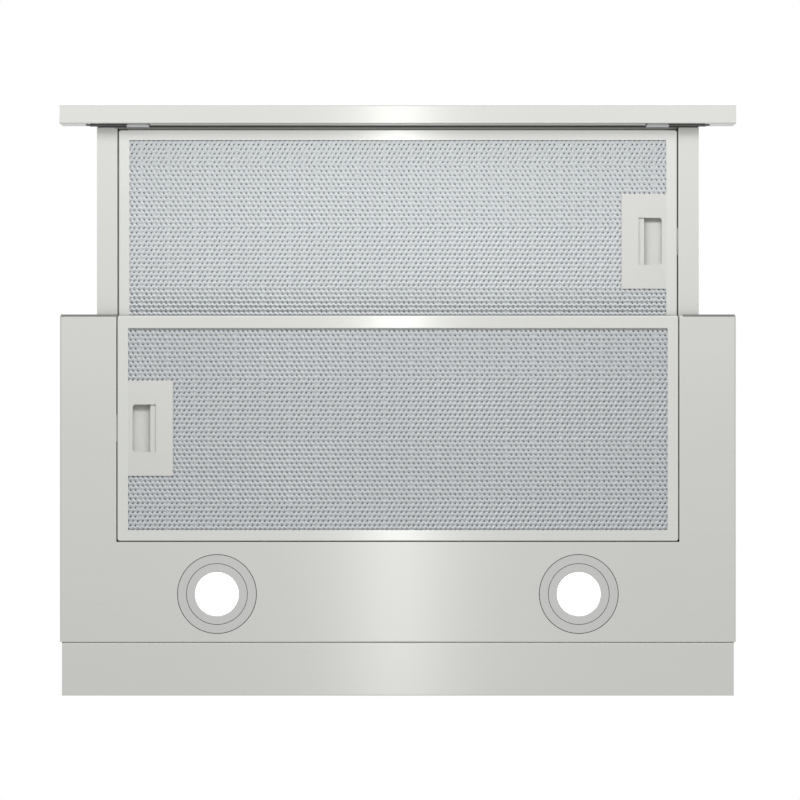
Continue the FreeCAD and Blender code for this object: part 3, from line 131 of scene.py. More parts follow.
class HoodShadeSizes(bpy.types.PropertyGroup):
    """Sizes of the painted shade strips and lines, and of the metal beads"""
    # The foam, felt and lines sized here are painted shade: black and grey strips in gaps and along edges;
    # the beads are the hood's own metal.
    lamp_line: length("Lamp Line", 0.0005, "Width of the lines round a lamp's bezel and ring")
    lamp_under: length("Lamp Under", 0.0004, "How far the outer line reaches under the bezel")
    ring_proud: length("Ring Proud", 0.0002, "How far the inner line stands below the tray")
    ring_rise: length("Ring Rise", 0.0006, "How far the inner line reaches up into the lamp")
    proud: length("Proud", 0.0003, "How far other trim stands out from, or lies behind, its sheet")
    hook_room: length("Hook Room", 0.0006, "Room on each side of a strip hook")
    strip_gap: length("Strip Gap", 0.0001, "From the strip's rear edge to the trim behind it")
    slider_gap: length("Slider Gap", 0.0002, "From the slider's underside to the trim below it")
    black_shade_reach: length("Foam Reach", 0.006, "How far the foam runs past the slider's sides")
    black_shade_depth: length("Foam Depth", 0.0013, "Thickness of the foam behind the strip")
    black_shade_height: length("Foam Height", 0.0022, "Height of the foam behind the strip")
    strip_reach: length("Strip Reach", 0.009, "How far the felt runs past the slider's sides")
    strip_clear: length("Strip Clear", 0.0024, "From the slider down to the bead and the end felts")
    bead_depth: length("Bead Depth", 0.0008, "Thickness of the bead behind the strip")
    bead_rise: length("Bead Rise", 0.004, "From the strip's underside up to the bead")
    end_shade_depth: length("End Felt Depth", 0.0009, "Thickness of the felt at the strip's ends")
    end_shade_rise: length("End Felt Rise", 0.012, "From the strip's underside up to the end felts")
    grey_shade_start: length("Felt Start", 0.0014, "From the strip to the felt behind the foam")
    grey_shade_end: length("Felt End", 0.0022, "From the strip to the far side of that felt")
    grey_shade_height: length("Felt Height", 0.0012, "Height of that felt")
    inset: length("Inset", 0.001, "From the end of a rail, frame or tray to the end of its trim")
    front_gap: length("Front Gap", 0.0001, "From the front filter's frame to the felt before it")
    front_shade_far: length("Front Felt", 0.0018, "From the front filter's frame to that felt's far side")
    front_rise: length("Front Rise", 0.003, "Height of that felt")
    tray_lap: length("Tray Lap", 0.0016, "How far the tray's trim reaches under its edge")
    tray_rise: length("Tray Rise", 0.006, "How far the tray's trim reaches up its front")
    rear_rail: length("Rear Rail", 0.01, "Width of the rear filter frame's front rail")
    rear_half: length("Rear Half", 0.2385, "Half of the widest bead along that rail")
    rear_lap: length("Rear Lap", 0.0004, "How far that bead overlaps the rail")
    rear_bead: length("Rear Bead", 0.0017, "From the rail to that bead's far side")
    rear_shade_far: length("Rear Felt", 0.0026, "From the rail to the far side of the felt behind it")
    rear_proud: length("Rear Proud", 0.0001, "How far that bead stands below the frame")


class HoodColours(bpy.types.PropertyGroup):
    """Base colours of the finishes"""
    panel: colour("Panel", (0.55, 0.555, 0.53), "Satin sheet of the tray, strip and rails")
    border: colour("Filter Frame", (0.61, 0.618, 0.592), "Filter frames")
    trim: colour("Lamp Trim", (0.51, 0.515, 0.5), "Rings round the lamps")
    # The two filters are the same metal: the front tint is painted lighter and the rear tint painted
    # darker, as the light from the front falls on them.
    front_strand_lit: colour("Front Filter Mesh", (0.465, 0.487, 0.497), "Expanded metal of the front filter")
    rear_strand_shaded: colour("Rear Filter Mesh", (0.395, 0.414, 0.424), "Expanded metal of the rear filter")
    pleat: colour("Filter Core", (0.5, 0.505, 0.51), "Pleated sheet behind the mesh")
    handle: colour("Latch", (0.465, 0.465, 0.447), "Latch mouldings")
    zinc: colour("Zinc", (0.52, 0.53, 0.54), "Zinc-coated steel")
    screw: colour("Screw", (0.62, 0.62, 0.63), "Bright zinc of the screws")
    spring: colour("Spring", (0.45, 0.46, 0.48), "Leaf springs")
    lamp: colour("Lamp", (1.0, 0.995, 0.98), "Light of the lamps")
    lens: colour("Lens", (0.92, 0.92, 0.9), "Frosted lenses")
    housing: colour("Lamp Housing", (0.42, 0.42, 0.43), "Cast housings of the lamps")
    outlet: colour("Outlet", (0.035, 0.035, 0.038), "Outlet mouldings")
    blower: colour("Blower", (0.09, 0.095, 0.10), "Scroll and wheel")
    box: colour("Box", (0.72, 0.72, 0.70), "Control box and gland")
    button: colour("Button", (0.06, 0.06, 0.065), "Push buttons")
    motor: colour("Motor", (0.05, 0.05, 0.055), "Enamel of the motor")
    rubber: colour("Rubber", (0.02, 0.02, 0.02), "Rubber feet")
    board: colour("Board", (0.03, 0.16, 0.06), "Laminate of the switch board")
    # The three colours below are painted shade: black, grey and pale grey for strips put in gaps and along
    # edges where the hood only lies in shade, not real foam or felt.
    shade_black: colour("Shade_Black", (0.018, 0.018, 0.018), "Foam behind the strip and lines round the lamps")
    shade_grey: colour("Shade_Grey", (0.17, 0.17, 0.165), "Grey felt")
    shade_pale: colour("Pale Felt", (0.42, 0.42, 0.405), "Felt before the front filter")


class HoodStage(bpy.types.PropertyGroup):
    """Camera, lights and floor"""
    distance: length("Camera Distance", 4.2, "From the camera up to the tray")
    view_width: length("View Width", 0.7076, "Width that the picture takes in at the tray")
    aim_x: length("Aim X", 0.0019, "Middle of the picture along the width")
    aim_y: length("Aim Y", -0.0696, "Middle of the picture along the depth")
    strip_power: power("Strip Power", 0.112, "Tube light below the middle")
    front_power: power("Front Power", 9.6, "Soft light below the front")
    fill_power: power("Fill Power", 5.1, "Fill below the front, not mirrored")
    top_power: power("Top Power", 60.0, "Soft light above")
    rear_share: share("Rear Share", 0.5, "Power of the light behind, against the one above")
    sheen: share("Sheen", 0.34, "Part of the lights above and behind that the metal mirrors")
    ambient: share("Ambient", 0.3, "Even light from all round")
    floor_level: length("Floor Level", -0.78, "Height of the floor")
    floor_reach: length("Floor Reach", 9.0, "Half of the floor's width")


# Shader building


def add(tree, kind, **inputs):
    """A node with some of its inputs set by name."""
    made = tree.nodes.new(kind)
    for name, value in inputs.items():
        made.inputs[name.replace("_", " ")].default_value = value
    return made


def group(name, inputs, outputs):
    """An empty shader group with its named sockets."""
    tree = bpy.data.node_groups.new(name, "ShaderNodeTree")
    for label, kind, default in inputs:
        socket = tree.interface.new_socket(label, in_out="INPUT", socket_type=kind)
        socket.default_value = default
    for label, kind in outputs:
        tree.interface.new_socket(label, in_out="OUTPUT", socket_type=kind)
    return tree, tree.nodes.new("NodeGroupInput"), tree.nodes.new("NodeGroupOutput")


def tone_mix(tree, given, value, strength):
    """Lightens and darkens a colour by a value round one half."""
    swing = add(tree, "ShaderNodeMath")
    swing.operation = "MULTIPLY_ADD"
    tree.links.new(value, swing.inputs[0])
    tree.links.new(strength, swing.inputs[1])
    base = add(tree, "ShaderNodeMath")
    base.operation = "MULTIPLY_ADD"
    tree.links.new(strength, base.inputs[0])
    base.inputs[1].default_value = -0.5
    base.inputs[2].default_value = 1.0
    tree.links.new(base.outputs[0], swing.inputs[2])
    scaled = add(tree, "ShaderNodeVectorMath")
    scaled.operation = "SCALE"
    tree.links.new(given, scaled.inputs[0])
    tree.links.new(swing.outputs[0], scaled.inputs["Scale"])
    return scaled.outputs[0]


def rough_mix(tree, value, low, high):
    """A roughness between two given ends."""
    ranged = add(tree, "ShaderNodeMapRange")
    tree.links.new(value, ranged.inputs["Value"])
    tree.links.new(low, ranged.inputs["To Min"])
    tree.links.new(high, ranged.inputs["To Max"])
    return ranged.outputs[0]


FINISH_INPUTS = [("Colour", "NodeSocketColor", (0.5, 0.5, 0.5, 1.0)), ("Tone", "NodeSocketFloat", 0.1),
                 ("Smooth", "NodeSocketFloat", 0.3), ("Rough", "NodeSocketFloat", 0.4),
                 ("Scale", "NodeSocketVector", (1.0, 1.0, 1.0))]
FINISH_OUTPUTS = [("Colour", "NodeSocketColor"), ("Roughness", "NodeSocketFloat"),
                  ("Height", "NodeSocketFloat")]
DRAWN, SPANGLED, SPECKLED = "Drawn Grain", "Zinc Spangle", "Moulded Speckle"
# Steps of a pattern in a metre: along and across the drawn lines, and the same every way
ALONG_X = (3.0, 1400.0, 1400.0)
ALONG_Y = (1400.0, 3.0, 1400.0)
FINE, COARSE, OPEN, FLOWERS = 2600.0, 1100.0, 900.0, 210.0
# Height of a finish's relief, in metres
RELIEF = 0.0002


def finish_ends(tree, given, out, first, second, part, height):
    """Mixes a part of a second pattern into the first and joins them to the outputs of their group."""
    both = add(tree, "ShaderNodeMix", Factor=part)
    tree.links.new(first, both.inputs[2])
    tree.links.new(second, both.inputs[3])
    value = both.outputs[0]
    tinted = tone_mix(tree, given.outputs["Colour"], value, given.outputs["Tone"])
    glossy = rough_mix(tree, value, given.outputs["Smooth"], given.outputs["Rough"])
    tree.links.new(tinted, out.inputs["Colour"])
    tree.links.new(glossy, out.inputs["Roughness"])
    tree.links.new(height, out.inputs["Height"])


def noise(tree, where, **inputs):
    """The value of a noise texture at given coordinates."""
    made = add(tree, "ShaderNodeTexNoise", **inputs)
    tree.links.new(where, made.inputs["Vector"])
    return made.outputs["Fac"]


def placed_scale(tree, given):
    """Object coordinates stretched by the group's scale."""
    place = add(tree, "ShaderNodeTexCoord")
    stretched = add(tree, "ShaderNodeVectorMath")
    stretched.operation = "MULTIPLY"
    tree.links.new(place.outputs["Object"], stretched.inputs[0])
    tree.links.new(given.outputs["Scale"], stretched.inputs[1])
    return stretched.outputs[0]


def grained_group():
    """Fine drawn lines: noise stretched along the grain, over a slow cloud."""
    tree, given, out = group(DRAWN, FINISH_INPUTS, FINISH_OUTPUTS)
    lines = noise(tree, placed_scale(tree, given), Scale=1.0, Detail=4.0, Roughness=0.65)
    place = add(tree, "ShaderNodeTexCoord")
    cloud = noise(tree, place.outputs["Object"], Scale=9.0, Detail=2.0)
    finish_ends(tree, given, out, lines, cloud, part=0.3, height=lines)
    return tree


def spangled_group():
    """Zinc flowers: flat cells of slightly different tone and gloss."""
    tree, given, out = group(SPANGLED, FINISH_INPUTS, FINISH_OUTPUTS)
    where = placed_scale(tree, given)
    cells = add(tree, "ShaderNodeTexVoronoi", Scale=1.0, Randomness=1.0)
    tree.links.new(where, cells.inputs["Vector"])
    parted = add(tree, "ShaderNodeSeparateColor")
    tree.links.new(cells.outputs["Color"], parted.inputs["Color"])
    feather = noise(tree, where, Scale=6.0, Detail=5.0)
    finish_ends(tree, given, out, parted.outputs[0], feather, part=0.35, height=feather)
    return tree


def moulded_group():
    """Eroded mould texture: fine speckle over a slow cloud."""
    tree, given, out = group(SPECKLED, FINISH_INPUTS, FINISH_OUTPUTS)
    where = placed_scale(tree, given)
    speckle = noise(tree, where, Scale=1.0, Detail=2.0, Roughness=0.7)
    cloud = noise(tree, where, Scale=0.02, Detail=3.0)
    finish_ends(tree, given, out, speckle, cloud, part=0.5, height=speckle)
    return tree


def effect(name):
    """One of the shared effects, built the first time that it is asked for."""
    made = {DRAWN: grained_group, SPANGLED: spangled_group, SPECKLED: moulded_group}
    return bpy.data.node_groups.get(name) or made[name]()


def finish(name, shared, tint, *, tone, smooth, rough, scale, bump, metal=0.0):
    """A material with a shared effect in front of its own shader."""
    material = bpy.data.materials.new(name)
    material.use_nodes = True
    tree = material.node_tree
    shader = tree.nodes["Principled BSDF"]
    made = tree.nodes.new("ShaderNodeGroup")
    made.node_tree = effect(shared)
    look = {"Colour": (*tint, 1.0), "Tone": tone, "Smooth": smooth, "Rough": rough,
            "Scale": scale if isinstance(scale, tuple) else (scale, scale, scale)}
    for label, value in look.items():
        made.inputs[label].default_value = value
    tree.links.new(made.outputs["Colour"], shader.inputs["Base Color"])
    tree.links.new(made.outputs["Roughness"], shader.inputs["Roughness"])
    relief = add(tree, "ShaderNodeBump", Strength=bump, Distance=RELIEF)
    tree.links.new(made.outputs["Height"], relief.inputs["Height"])
    tree.links.new(relief.outputs[0], shader.inputs["Normal"])
    shader.inputs["Metallic"].default_value = metal
    return material


def dress(slot, material):
    """Gives a finish to every CAD node of a slot."""
    found = [nodes[name] for name, own in SLOT_OF.items() if own == slot]
    if not found:
        raise RuntimeError(f"no node has the slot {slot}")
    for piece in found:
        piece.data.materials.clear()
        piece.data.materials.append(material)


# Mesh building

# Distance within which the cells' vertices join, and how far a cutter passes its surface
WELD, OVERCUT = 0.00004, 0.0005
# Steps of the round shapes
HEAD_STEPS, HEAD_TURNS, BAND_TURNS = 5, 28, 96


def mesh_object(name, mesh):
    made = bpy.data.objects.new(name, mesh)
    bpy.context.scene.collection.objects.link(made)
    return made


def from_bmesh(name, work):
    mesh = bpy.data.meshes.new(name)
    work.to_mesh(mesh)
    work.free()
    return mesh_object(name, mesh)


def circle(work, middle, r, z, turns):
    """A ring of vertices about an upright axis."""
    return [work.verts.new((middle[0] + r * math.cos(math.tau * k / turns),
                            middle[1] + r * math.sin(math.tau * k / turns), z)) for k in range(turns)]


def evaluated(holder):
    """The mesh that an object's modifiers make."""
    seen = holder.evaluated_get(bpy.context.evaluated_depsgraph_get())
    return bpy.data.meshes.new_from_object(seen)


def node_tree(name, inputs):
    """An empty geometry tree with its named sockets."""
    tree = bpy.data.node_groups.new(name, "GeometryNodeTree")
    tree.interface.new_socket("Geometry", in_out="INPUT", socket_type="NodeSocketGeometry")
    for label, kind in inputs:
        tree.interface.new_socket(label, in_out="INPUT", socket_type=kind)
    tree.interface.new_socket("Geometry", in_out="OUTPUT", socket_type="NodeSocketGeometry")
    return tree, tree.nodes.new("NodeGroupInput"), tree.nodes.new("NodeGroupOutput")


def grown(name, tree, start, values):
    """Runs a geometry tree on a start mesh and keeps its result as a plain mesh."""
    carrier = mesh_object(f"{name}_carrier", start)
    modifier = carrier.modifiers.new("Grow", "NODES")
    modifier.node_group = tree
    for socket in tree.interface.items_tree:
        if socket.in_out == "INPUT" and socket.name in values:
            modifier[socket.identifier] = values[socket.name]
    mesh = evaluated(carrier)
    mesh.name = name
    bpy.data.objects.remove(carrier)
    bpy.data.meshes.remove(start)
    if not mesh.polygons:
        raise RuntimeError(f"{name} came out empty")
    return mesh_object(name, mesh)


def math_node(tree, operation, *values):
    """A math node whose inputs are sockets or numbers."""
    made = tree.nodes.new("ShaderNodeMath")
    made.operation = operation
    for socket, value in zip(made.inputs, values):
        if isinstance(value, bpy.types.NodeSocket):
            tree.links.new(value, socket)
        else:
            socket.default_value = value
    return made.outputs[0]


def strand_cell(name, sizes, turn):
    """One hole of the expanded metal with the strands round it, as wide as a step of the pattern."""
    step, row = sizes.pitch, sizes.row_pitch
    reach = (step * step / 4 + row * row) / 2
    tall = reach / row
    low = (reach - step * step / 4) / row
    half, bond = step / 2, sizes.bond
    rim = [(half, 0.0, bond), (half, low, 0.0), (0.0, tall, 0.0), (-half, low, 0.0),
           (-half, 0.0, bond), (-half, -low, 0.0), (0.0, -tall, 0.0), (half, -low, 0.0)]
    hole = []
    for x, y, _ in rim:
        angle = math.atan2(y, x) - turn
        near = Vector((sizes.hole_long * math.cos(angle), sizes.hole_short * math.sin(angle)))
        near.rotate(Matrix.Rotation(turn, 2))
        hole.append((near.x, near.y, sizes.depth))
    work = bmesh.new()
    for lift, way in ((0.0, -1), (sizes.sheet, 1)):
        outer, inner = ([work.verts.new((x, y, z + lift)) for x, y, z in ring] for ring in (rim, hole))
        for i in range(len(rim)):
            j = (i + 1) % len(rim)
            work.faces.new((outer[i], outer[j], inner[j], inner[i])[::way])
    return from_bmesh(name, work)


MESH_INPUTS = [("Columns", "NodeSocketInt"), ("Rows", "NodeSocketInt"),
               *((label, "NodeSocketFloat") for label in (
                   "Pitch", "Row Pitch", "Bay Middle", "Bay Half Length", "Bay Half Width",
                   "Band Height", "Band Start")),
               ("Place", "NodeSocketVector"), ("Right Cell", "NodeSocketObject"),
               ("Left Cell", "NodeSocketObject"), ("Finish", "NodeSocketMaterial")]


def expanded_metal_tree():
    """Staggered rows of cells that lean the other way from band to band, with a bay for the handle."""
    tree, given, out = node_tree("Expanded Metal", MESH_INPUTS)
    get = given.outputs
    link = tree.links.new
    grid = tree.nodes.new("GeometryNodeMeshGrid")
    for count, step, way in (("Columns", "Pitch", "X"), ("Rows", "Row Pitch", "Y")):
        steps = math_node(tree, "SUBTRACT", get[count], 1.0)
        link(get[count], grid.inputs[f"Vertices {way}"])
        link(math_node(tree, "MULTIPLY", steps, get[step]), grid.inputs[f"Size {way}"])
    index = tree.nodes.new("GeometryNodeInputIndex").outputs[0]
    row = math_node(tree, "FLOORED_MODULO", index, get["Rows"])
    odd = math_node(tree, "SUBTRACT", math_node(tree, "FLOORED_MODULO", row, 2.0), 0.5)
    shift = tree.nodes.new("ShaderNodeCombineXYZ")
    half_step = math_node(tree, "MULTIPLY", get["Pitch"], 0.5)
    link(math_node(tree, "MULTIPLY", odd, half_step), shift.inputs["X"])
    stagger = tree.nodes.new("GeometryNodeSetPosition")
    link(grid.outputs["Mesh"], stagger.inputs["Geometry"])
    link(shift.outputs[0], stagger.inputs["Offset"])
    where = tree.nodes.new("ShaderNodeSeparateXYZ")
    link(tree.nodes.new("GeometryNodeInputPosition").outputs[0], where.inputs[0])
    off_x = math_node(tree, "ABSOLUTE", math_node(tree, "SUBTRACT", where.outputs["X"], get["Bay Middle"]))
    in_x = math_node(tree, "LESS_THAN", off_x, get["Bay Half Length"])
    off_y = math_node(tree, "ABSOLUTE", where.outputs["Y"])
    in_y = math_node(tree, "LESS_THAN", off_y, get["Bay Half Width"])
    bay = tree.nodes.new("GeometryNodeDeleteGeometry")
    link(stagger.outputs[0], bay.inputs["Geometry"])
    link(math_node(tree, "MULTIPLY", in_x, in_y), bay.inputs["Selection"])
    from_start = math_node(tree, "SUBTRACT", where.outputs["Y"], get["Band Start"])
    band = math_node(tree, "DIVIDE", from_start, get["Band Height"])
    right = math_node(tree, "FLOORED_MODULO", math_node(tree, "FLOOR", band), 2.0)
    joined = tree.nodes.new("GeometryNodeJoinGeometry")
    left = math_node(tree, "SUBTRACT", 1.0, right)
    for label, chosen in (("Right Cell", right), ("Left Cell", left)):
        cell = tree.nodes.new("GeometryNodeObjectInfo")
        link(get[label], cell.inputs["Object"])
        placed = tree.nodes.new("GeometryNodeInstanceOnPoints")
        link(bay.outputs[0], placed.inputs["Points"])
        link(chosen, placed.inputs["Selection"])
        link(cell.outputs["Geometry"], placed.inputs["Instance"])
        link(placed.outputs[0], joined.inputs[0])
    moved = tree.nodes.new("GeometryNodeTransform")
    link(joined.outputs[0], moved.inputs["Geometry"])
    link(get["Place"], moved.inputs["Translation"])
    real = tree.nodes.new("GeometryNodeRealizeInstances")
    link(moved.outputs[0], real.inputs[0])
    merged = tree.nodes.new("GeometryNodeMergeByDistance")
    merged.inputs["Distance"].default_value = WELD
    link(real.outputs[0], merged.inputs["Geometry"])
    finished = tree.nodes.new("GeometryNodeSetMaterial")
    link(merged.outputs[0], finished.inputs["Geometry"])
    link(get["Finish"], finished.inputs["Material"])
    link(finished.outputs[0], out.inputs[0])
    return tree


def pan_head(sizes):
    """A pan head with its cross recess, standing on the origin along +Z."""
    work = bmesh.new()
    dome = sizes.head_h - sizes.rim_h
    profile = [(sizes.head_r, 0.0)]
    for i in range(HEAD_STEPS):
        a = math.pi / 2 * i / HEAD_STEPS
        profile.append((sizes.head_r * math.cos(a), sizes.rim_h + dome * math.sin(a)))
    loops = [circle(work, (0.0, 0.0), r, z, HEAD_TURNS) for r, z in profile]
    for below, above in zip(loops, loops[1:]):
        for k in range(HEAD_TURNS):
            j = (k + 1) % HEAD_TURNS
            work.faces.new((below[k], below[j], above[j], above[k]))
    work.faces.new(list(reversed(loops[0])))
    work.faces.new(loops[-1])
    head = from_bmesh("pan_head", work)
    cross = bmesh.new()
    w, r, taper = sizes.drive_w / 2, sizes.drive_r, sizes.drive_taper
    outline = [(w, w), (w, r), (-w, r), (-w, w), (-r, w), (-r, -w),
               (-w, -w), (-w, -r), (w, -r), (w, -w), (r, -w), (r, w)]
    deep = sizes.head_h - sizes.drive_d
    floor = [cross.verts.new((x * taper, y * taper, deep)) for x, y in outline]
    roof = [cross.verts.new((x, y, sizes.head_h + OVERCUT)) for x, y in outline]
    cross.faces.new(list(reversed(floor)))
    cross.faces.new(roof)
    for k in range(len(outline)):
        j = (k + 1) % len(outline)
        cross.faces.new((floor[k], floor[j], roof[j], roof[k]))
    bmesh.ops.recalc_face_normals(cross, faces=cross.faces)
    cutter = from_bmesh("cross_recess", cross)
    cut = head.modifiers.new("Recess", "BOOLEAN")
    cut.operation = "DIFFERENCE"
    cut.solver = "EXACT"
    cut.object = cutter
    mesh = evaluated(head)
    for spare in (head, cutter):
        bpy.data.objects.remove(spare)
    return mesh_object("pan_head_cut", mesh)


def screw_tree():
    """Heads standing on seats, each turned along its seat's own axis."""
    sockets = [("Head", "NodeSocketObject"), ("Finish", "NodeSocketMaterial")]
    tree, given, out = node_tree("Seated Screws", sockets)
    link = tree.links.new
    axis = tree.nodes.new("GeometryNodeInputNamedAttribute")
    axis.data_type = "FLOAT_VECTOR"
    axis.inputs["Name"].default_value = "axis"
    turned = tree.nodes.new("FunctionNodeAlignRotationToVector")
    turned.axis = "Z"
    link(axis.outputs[0], turned.inputs["Vector"])
    head = tree.nodes.new("GeometryNodeObjectInfo")
    link(given.outputs["Head"], head.inputs["Object"])
    placed = tree.nodes.new("GeometryNodeInstanceOnPoints")
    link(given.outputs["Geometry"], placed.inputs["Points"])
    link(head.outputs["Geometry"], placed.inputs["Instance"])
    link(turned.outputs[0], placed.inputs["Rotation"])
    real = tree.nodes.new("GeometryNodeRealizeInstances")
    link(placed.outputs[0], real.inputs[0])
    finished = tree.nodes.new("GeometryNodeSetMaterial")
    link(real.outputs[0], finished.inputs["Geometry"])
    link(given.outputs["Finish"], finished.inputs["Material"])
    link(finished.outputs[0], out.inputs[0])
    return tree


def solids_of(node):
    """Lowest and highest corners of each separate solid in a CAD node."""
    work = bmesh.new()
    work.from_mesh(nodes[node].data)
    bmesh.ops.remove_doubles(work, verts=work.verts, dist=1e-6)
    left = set(work.verts)
    corners = []
    while left:
        reached = [left.pop()]
        for vert in reached:
            for edge in vert.link_edges:
                other = edge.other_vert(vert)
                if other in left:
                    left.remove(other)
                    reached.append(other)
        places = [v.co for v in reached]
        low = Vector([min(p[k] for p in places) for k in range(3)])
        high = Vector([max(p[k] for p in places) for k in range(3)])
        corners.append((low, high))
    work.free()
    return sorted(corners, key=lambda c: tuple(c[0]))


# Operators


class HOOD_OT_sheet_metal(bpy.types.Operator):
    """Finish the tray, strip, rails, filter frames and the zinc-coated steel behind them"""
    bl_idname = "hood.sheet_metal"
    bl_label = "Sheet Metal"

    def execute(self, context):
        tints = context.scene.hood_colours
        rows = (
            # slot, material, effect, tint, tone, smooth, rough, scale, bump, metal
            ("brushed_panel", "satin_panel", DRAWN, tints.panel, 0.06, 0.34, 0.42, ALONG_X, 0.05, 1.0),
            ("filter_aluminium", "filter_border", DRAWN, tints.border, 0.06, 0.28, 0.36, ALONG_X, 0.05,
             1.0),
            ("lamp_trim", "lamp_trim", DRAWN, tints.trim, 0.05, 0.32, 0.4, ALONG_Y, 0.05, 1.0),
            ("zinc_steel", "zinc_sheet", SPANGLED, tints.zinc, 0.2, 0.3, 0.46, FLOWERS, 0.03, 1.0),
            ("filter_mesh_metal", "pleated_core", DRAWN, tints.pleat, 0.15, 0.5, 0.7, ALONG_Y, 0.1, 0.0),
        )
        for slot, name, shared, tint, tone, smooth, rough, scale, bump, metal in rows:
            dress(slot, finish(name, shared, tint, tone=tone, smooth=smooth, rough=rough, scale=scale,
                               bump=bump, metal=metal))
        return {"FINISHED"}


class HOOD_OT_mouldings(bpy.types.Operator):
    """Finish the plastic mouldings, the rubber feet, the motor and the switch board"""
    bl_idname = "hood.mouldings"
    bl_label = "Mouldings"

    def execute(self, context):
        tints = context.scene.hood_colours
        rows = (
            # slot, material, tint, tone, smooth, rough, scale, bump
            ("latch_plastic", "latch_moulding", tints.handle, 0.05, 0.38, 0.5, FINE, 0.12),
            ("outlet_plastic", "outlet_moulding", tints.outlet, 0.25, 0.42, 0.6, COARSE, 0.35),
            ("blower_plastic", "blower_moulding", tints.blower, 0.2, 0.4, 0.58, COARSE, 0.3),
            ("box_plastic", "box_moulding", tints.box, 0.06, 0.36, 0.5, FINE, 0.2),
            ("capacitor_case", "capacitor_can", tints.box, 0.04, 0.2, 0.3, FINE, 0.05),
            ("button_plastic", "button_moulding", tints.button, 0.12, 0.22, 0.32, FINE, 0.08),
            ("motor_paint", "motor_enamel", tints.motor, 0.3, 0.3, 0.45, COARSE, 0.25),
            ("grommet_rubber", "foot_rubber", tints.rubber, 0.3, 0.6, 0.8, COARSE, 0.4),
            ("board", "board_laminate", tints.board, 0.2, 0.3, 0.45, FINE, 0.1),
        )
        for slot, name, tint, tone, smooth, rough, scale, bump in rows:
            dress(slot, finish(name, SPECKLED, tint, tone=tone, smooth=smooth, rough=rough,
                               scale=scale, bump=bump))
        return {"FINISHED"}


class HOOD_OT_filter_mesh(bpy.types.Operator):
    """Make the expanded metal of the two grease filters"""
    bl_idname = "hood.filter_mesh"
    bl_label = "Filter Mesh"

    def execute(self, context):
        sizes = context.scene.hood_mesh
        tints = context.scene.hood_colours
        right = strand_cell("right_cell", sizes, sizes.hole_turn)
        left = strand_cell("left_cell", sizes, -sizes.hole_turn)
        tree = expanded_metal_tree()
        # Lighter front and darker rear strand tints: painted light and shade from the front.
        rows = (("front_filter", "slider", sizes.front_band, tints.front_strand_lit),
                ("rear_filter", "rear_filter", sizes.rear_band, tints.rear_strand_shaded))
        for filter_name, body, band, tint in rows:
            bright = finish(f"{filter_name}_strand", DRAWN, tint, tone=0.12, smooth=0.28, rough=0.4,
                            scale=300.0, bump=0.05, metal=0.3)
            low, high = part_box(f"{filter_name}_mesh")
            bay_low, bay_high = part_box(f"{filter_name}_handle")
            middle = (low + high) / 2
            bay = (bay_low + bay_high) / 2 - middle
            span = high - low
            outward = math.copysign(span.x / 2, bay.x)
            inward = bay_low.x - middle.x if bay.x > 0 else bay_high.x - middle.x
            values = {
                "Columns": int((span.x - sizes.pitch) / sizes.pitch),
                "Rows": int(span.y / sizes.row_pitch),
                "Pitch": sizes.pitch, "Row Pitch": sizes.row_pitch,
                "Bay Middle": (outward + inward) / 2,
                "Bay Half Length": abs(outward - inward) / 2 - sizes.pitch * sizes.bay_edge,
                "Bay Half Width": (bay_high.y - bay_low.y) / 2 - sizes.row_pitch * sizes.bay_edge,
                "Band Height": sizes.row_pitch * sizes.band_rows, "Band Start": band,
                "Place": (middle.x, middle.y, low.z),
                "Right Cell": right, "Left Cell": left, "Finish": bright,
            }
            piece = grown(f"{filter_name}_expanded_metal", tree, bpy.data.meshes.new("seed"), values)
            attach(piece, body)
            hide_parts(f"{filter_name}_mesh")
        for cell in (right, left):
            bpy.data.objects.remove(cell)
        return {"FINISHED"}


class HOOD_OT_screws(bpy.types.Operator):
    """Make the pan-head screws on their seats"""
    bl_idname = "hood.screws"
    bl_label = "Screws"

    def execute(self, context):
        sizes = context.scene.hood_screws
        bright = finish("screw_zinc", DRAWN, context.scene.hood_colours.screw, tone=0.12, smooth=0.16,
                        rough=0.3, scale=500.0, bump=0.05, metal=1.0)
        dress("screw_steel", bright)
        head = pan_head(sizes)
        tree = screw_tree()
        ways = {"casing_screws": Vector((0, 0, 1)), "collar_screws": Vector((0, 0, 1)),
                "spacer_screws": Vector((0, 1, 0)), "strip_screws": Vector((0, 1, 0)),
                "motor_screws": Vector((-1, 0, 0)), "bracket_screws": None}
        for node, given in ways.items():
            seats, axes = [], []
            for low, high in solids_of(node):
                way = given or Vector((math.copysign(1.0, low.x), 0, 0))
                top = (low + high) / 2
                for k in range(3):
                    if way[k]:
                        top[k] = (high if way[k] > 0 else low)[k] - way[k] * sizes.head_h
                seats.append(top)
                axes.append(way)
            start = bpy.data.meshes.new("seats")
            start.from_pydata(seats, [], [])
            held = start.attributes.new("axis", "FLOAT_VECTOR", "POINT")
            for item, way in zip(held.data, axes):
                item.vector = way
            body = nodes[node]["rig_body"]
            piece = grown(f"{node}_heads", tree, start, {"Head": head, "Finish": bright})
            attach(piece, body)
            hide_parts(node)
        bpy.data.objects.remove(head)
        return {"FINISHED"}


class HOOD_OT_springs(bpy.types.Operator):
    """Give the bowed leaf springs their own meshes and a spring steel finish"""
    bl_idname = "hood.springs"
    bl_label = "Leaf Springs"

    def execute(self, context):
        steel = finish("spring_leaf", DRAWN, context.scene.hood_colours.spring, tone=0.1, smooth=0.2,
                       rough=0.3, scale=(900.0, 20.0, 900.0), bump=0.05, metal=1.0)
        for name in ("front", "rear"):
            node = f"{name}_filter_spring"
            leaf = mesh_object(f"{name}_filter_leaf", nodes[node].data.copy())
            leaf.data.materials.clear()
            leaf.data.materials.append(steel)
            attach(leaf, nodes[node]["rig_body"])
            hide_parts(node)
            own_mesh(leaf)
        return {"FINISHED"}


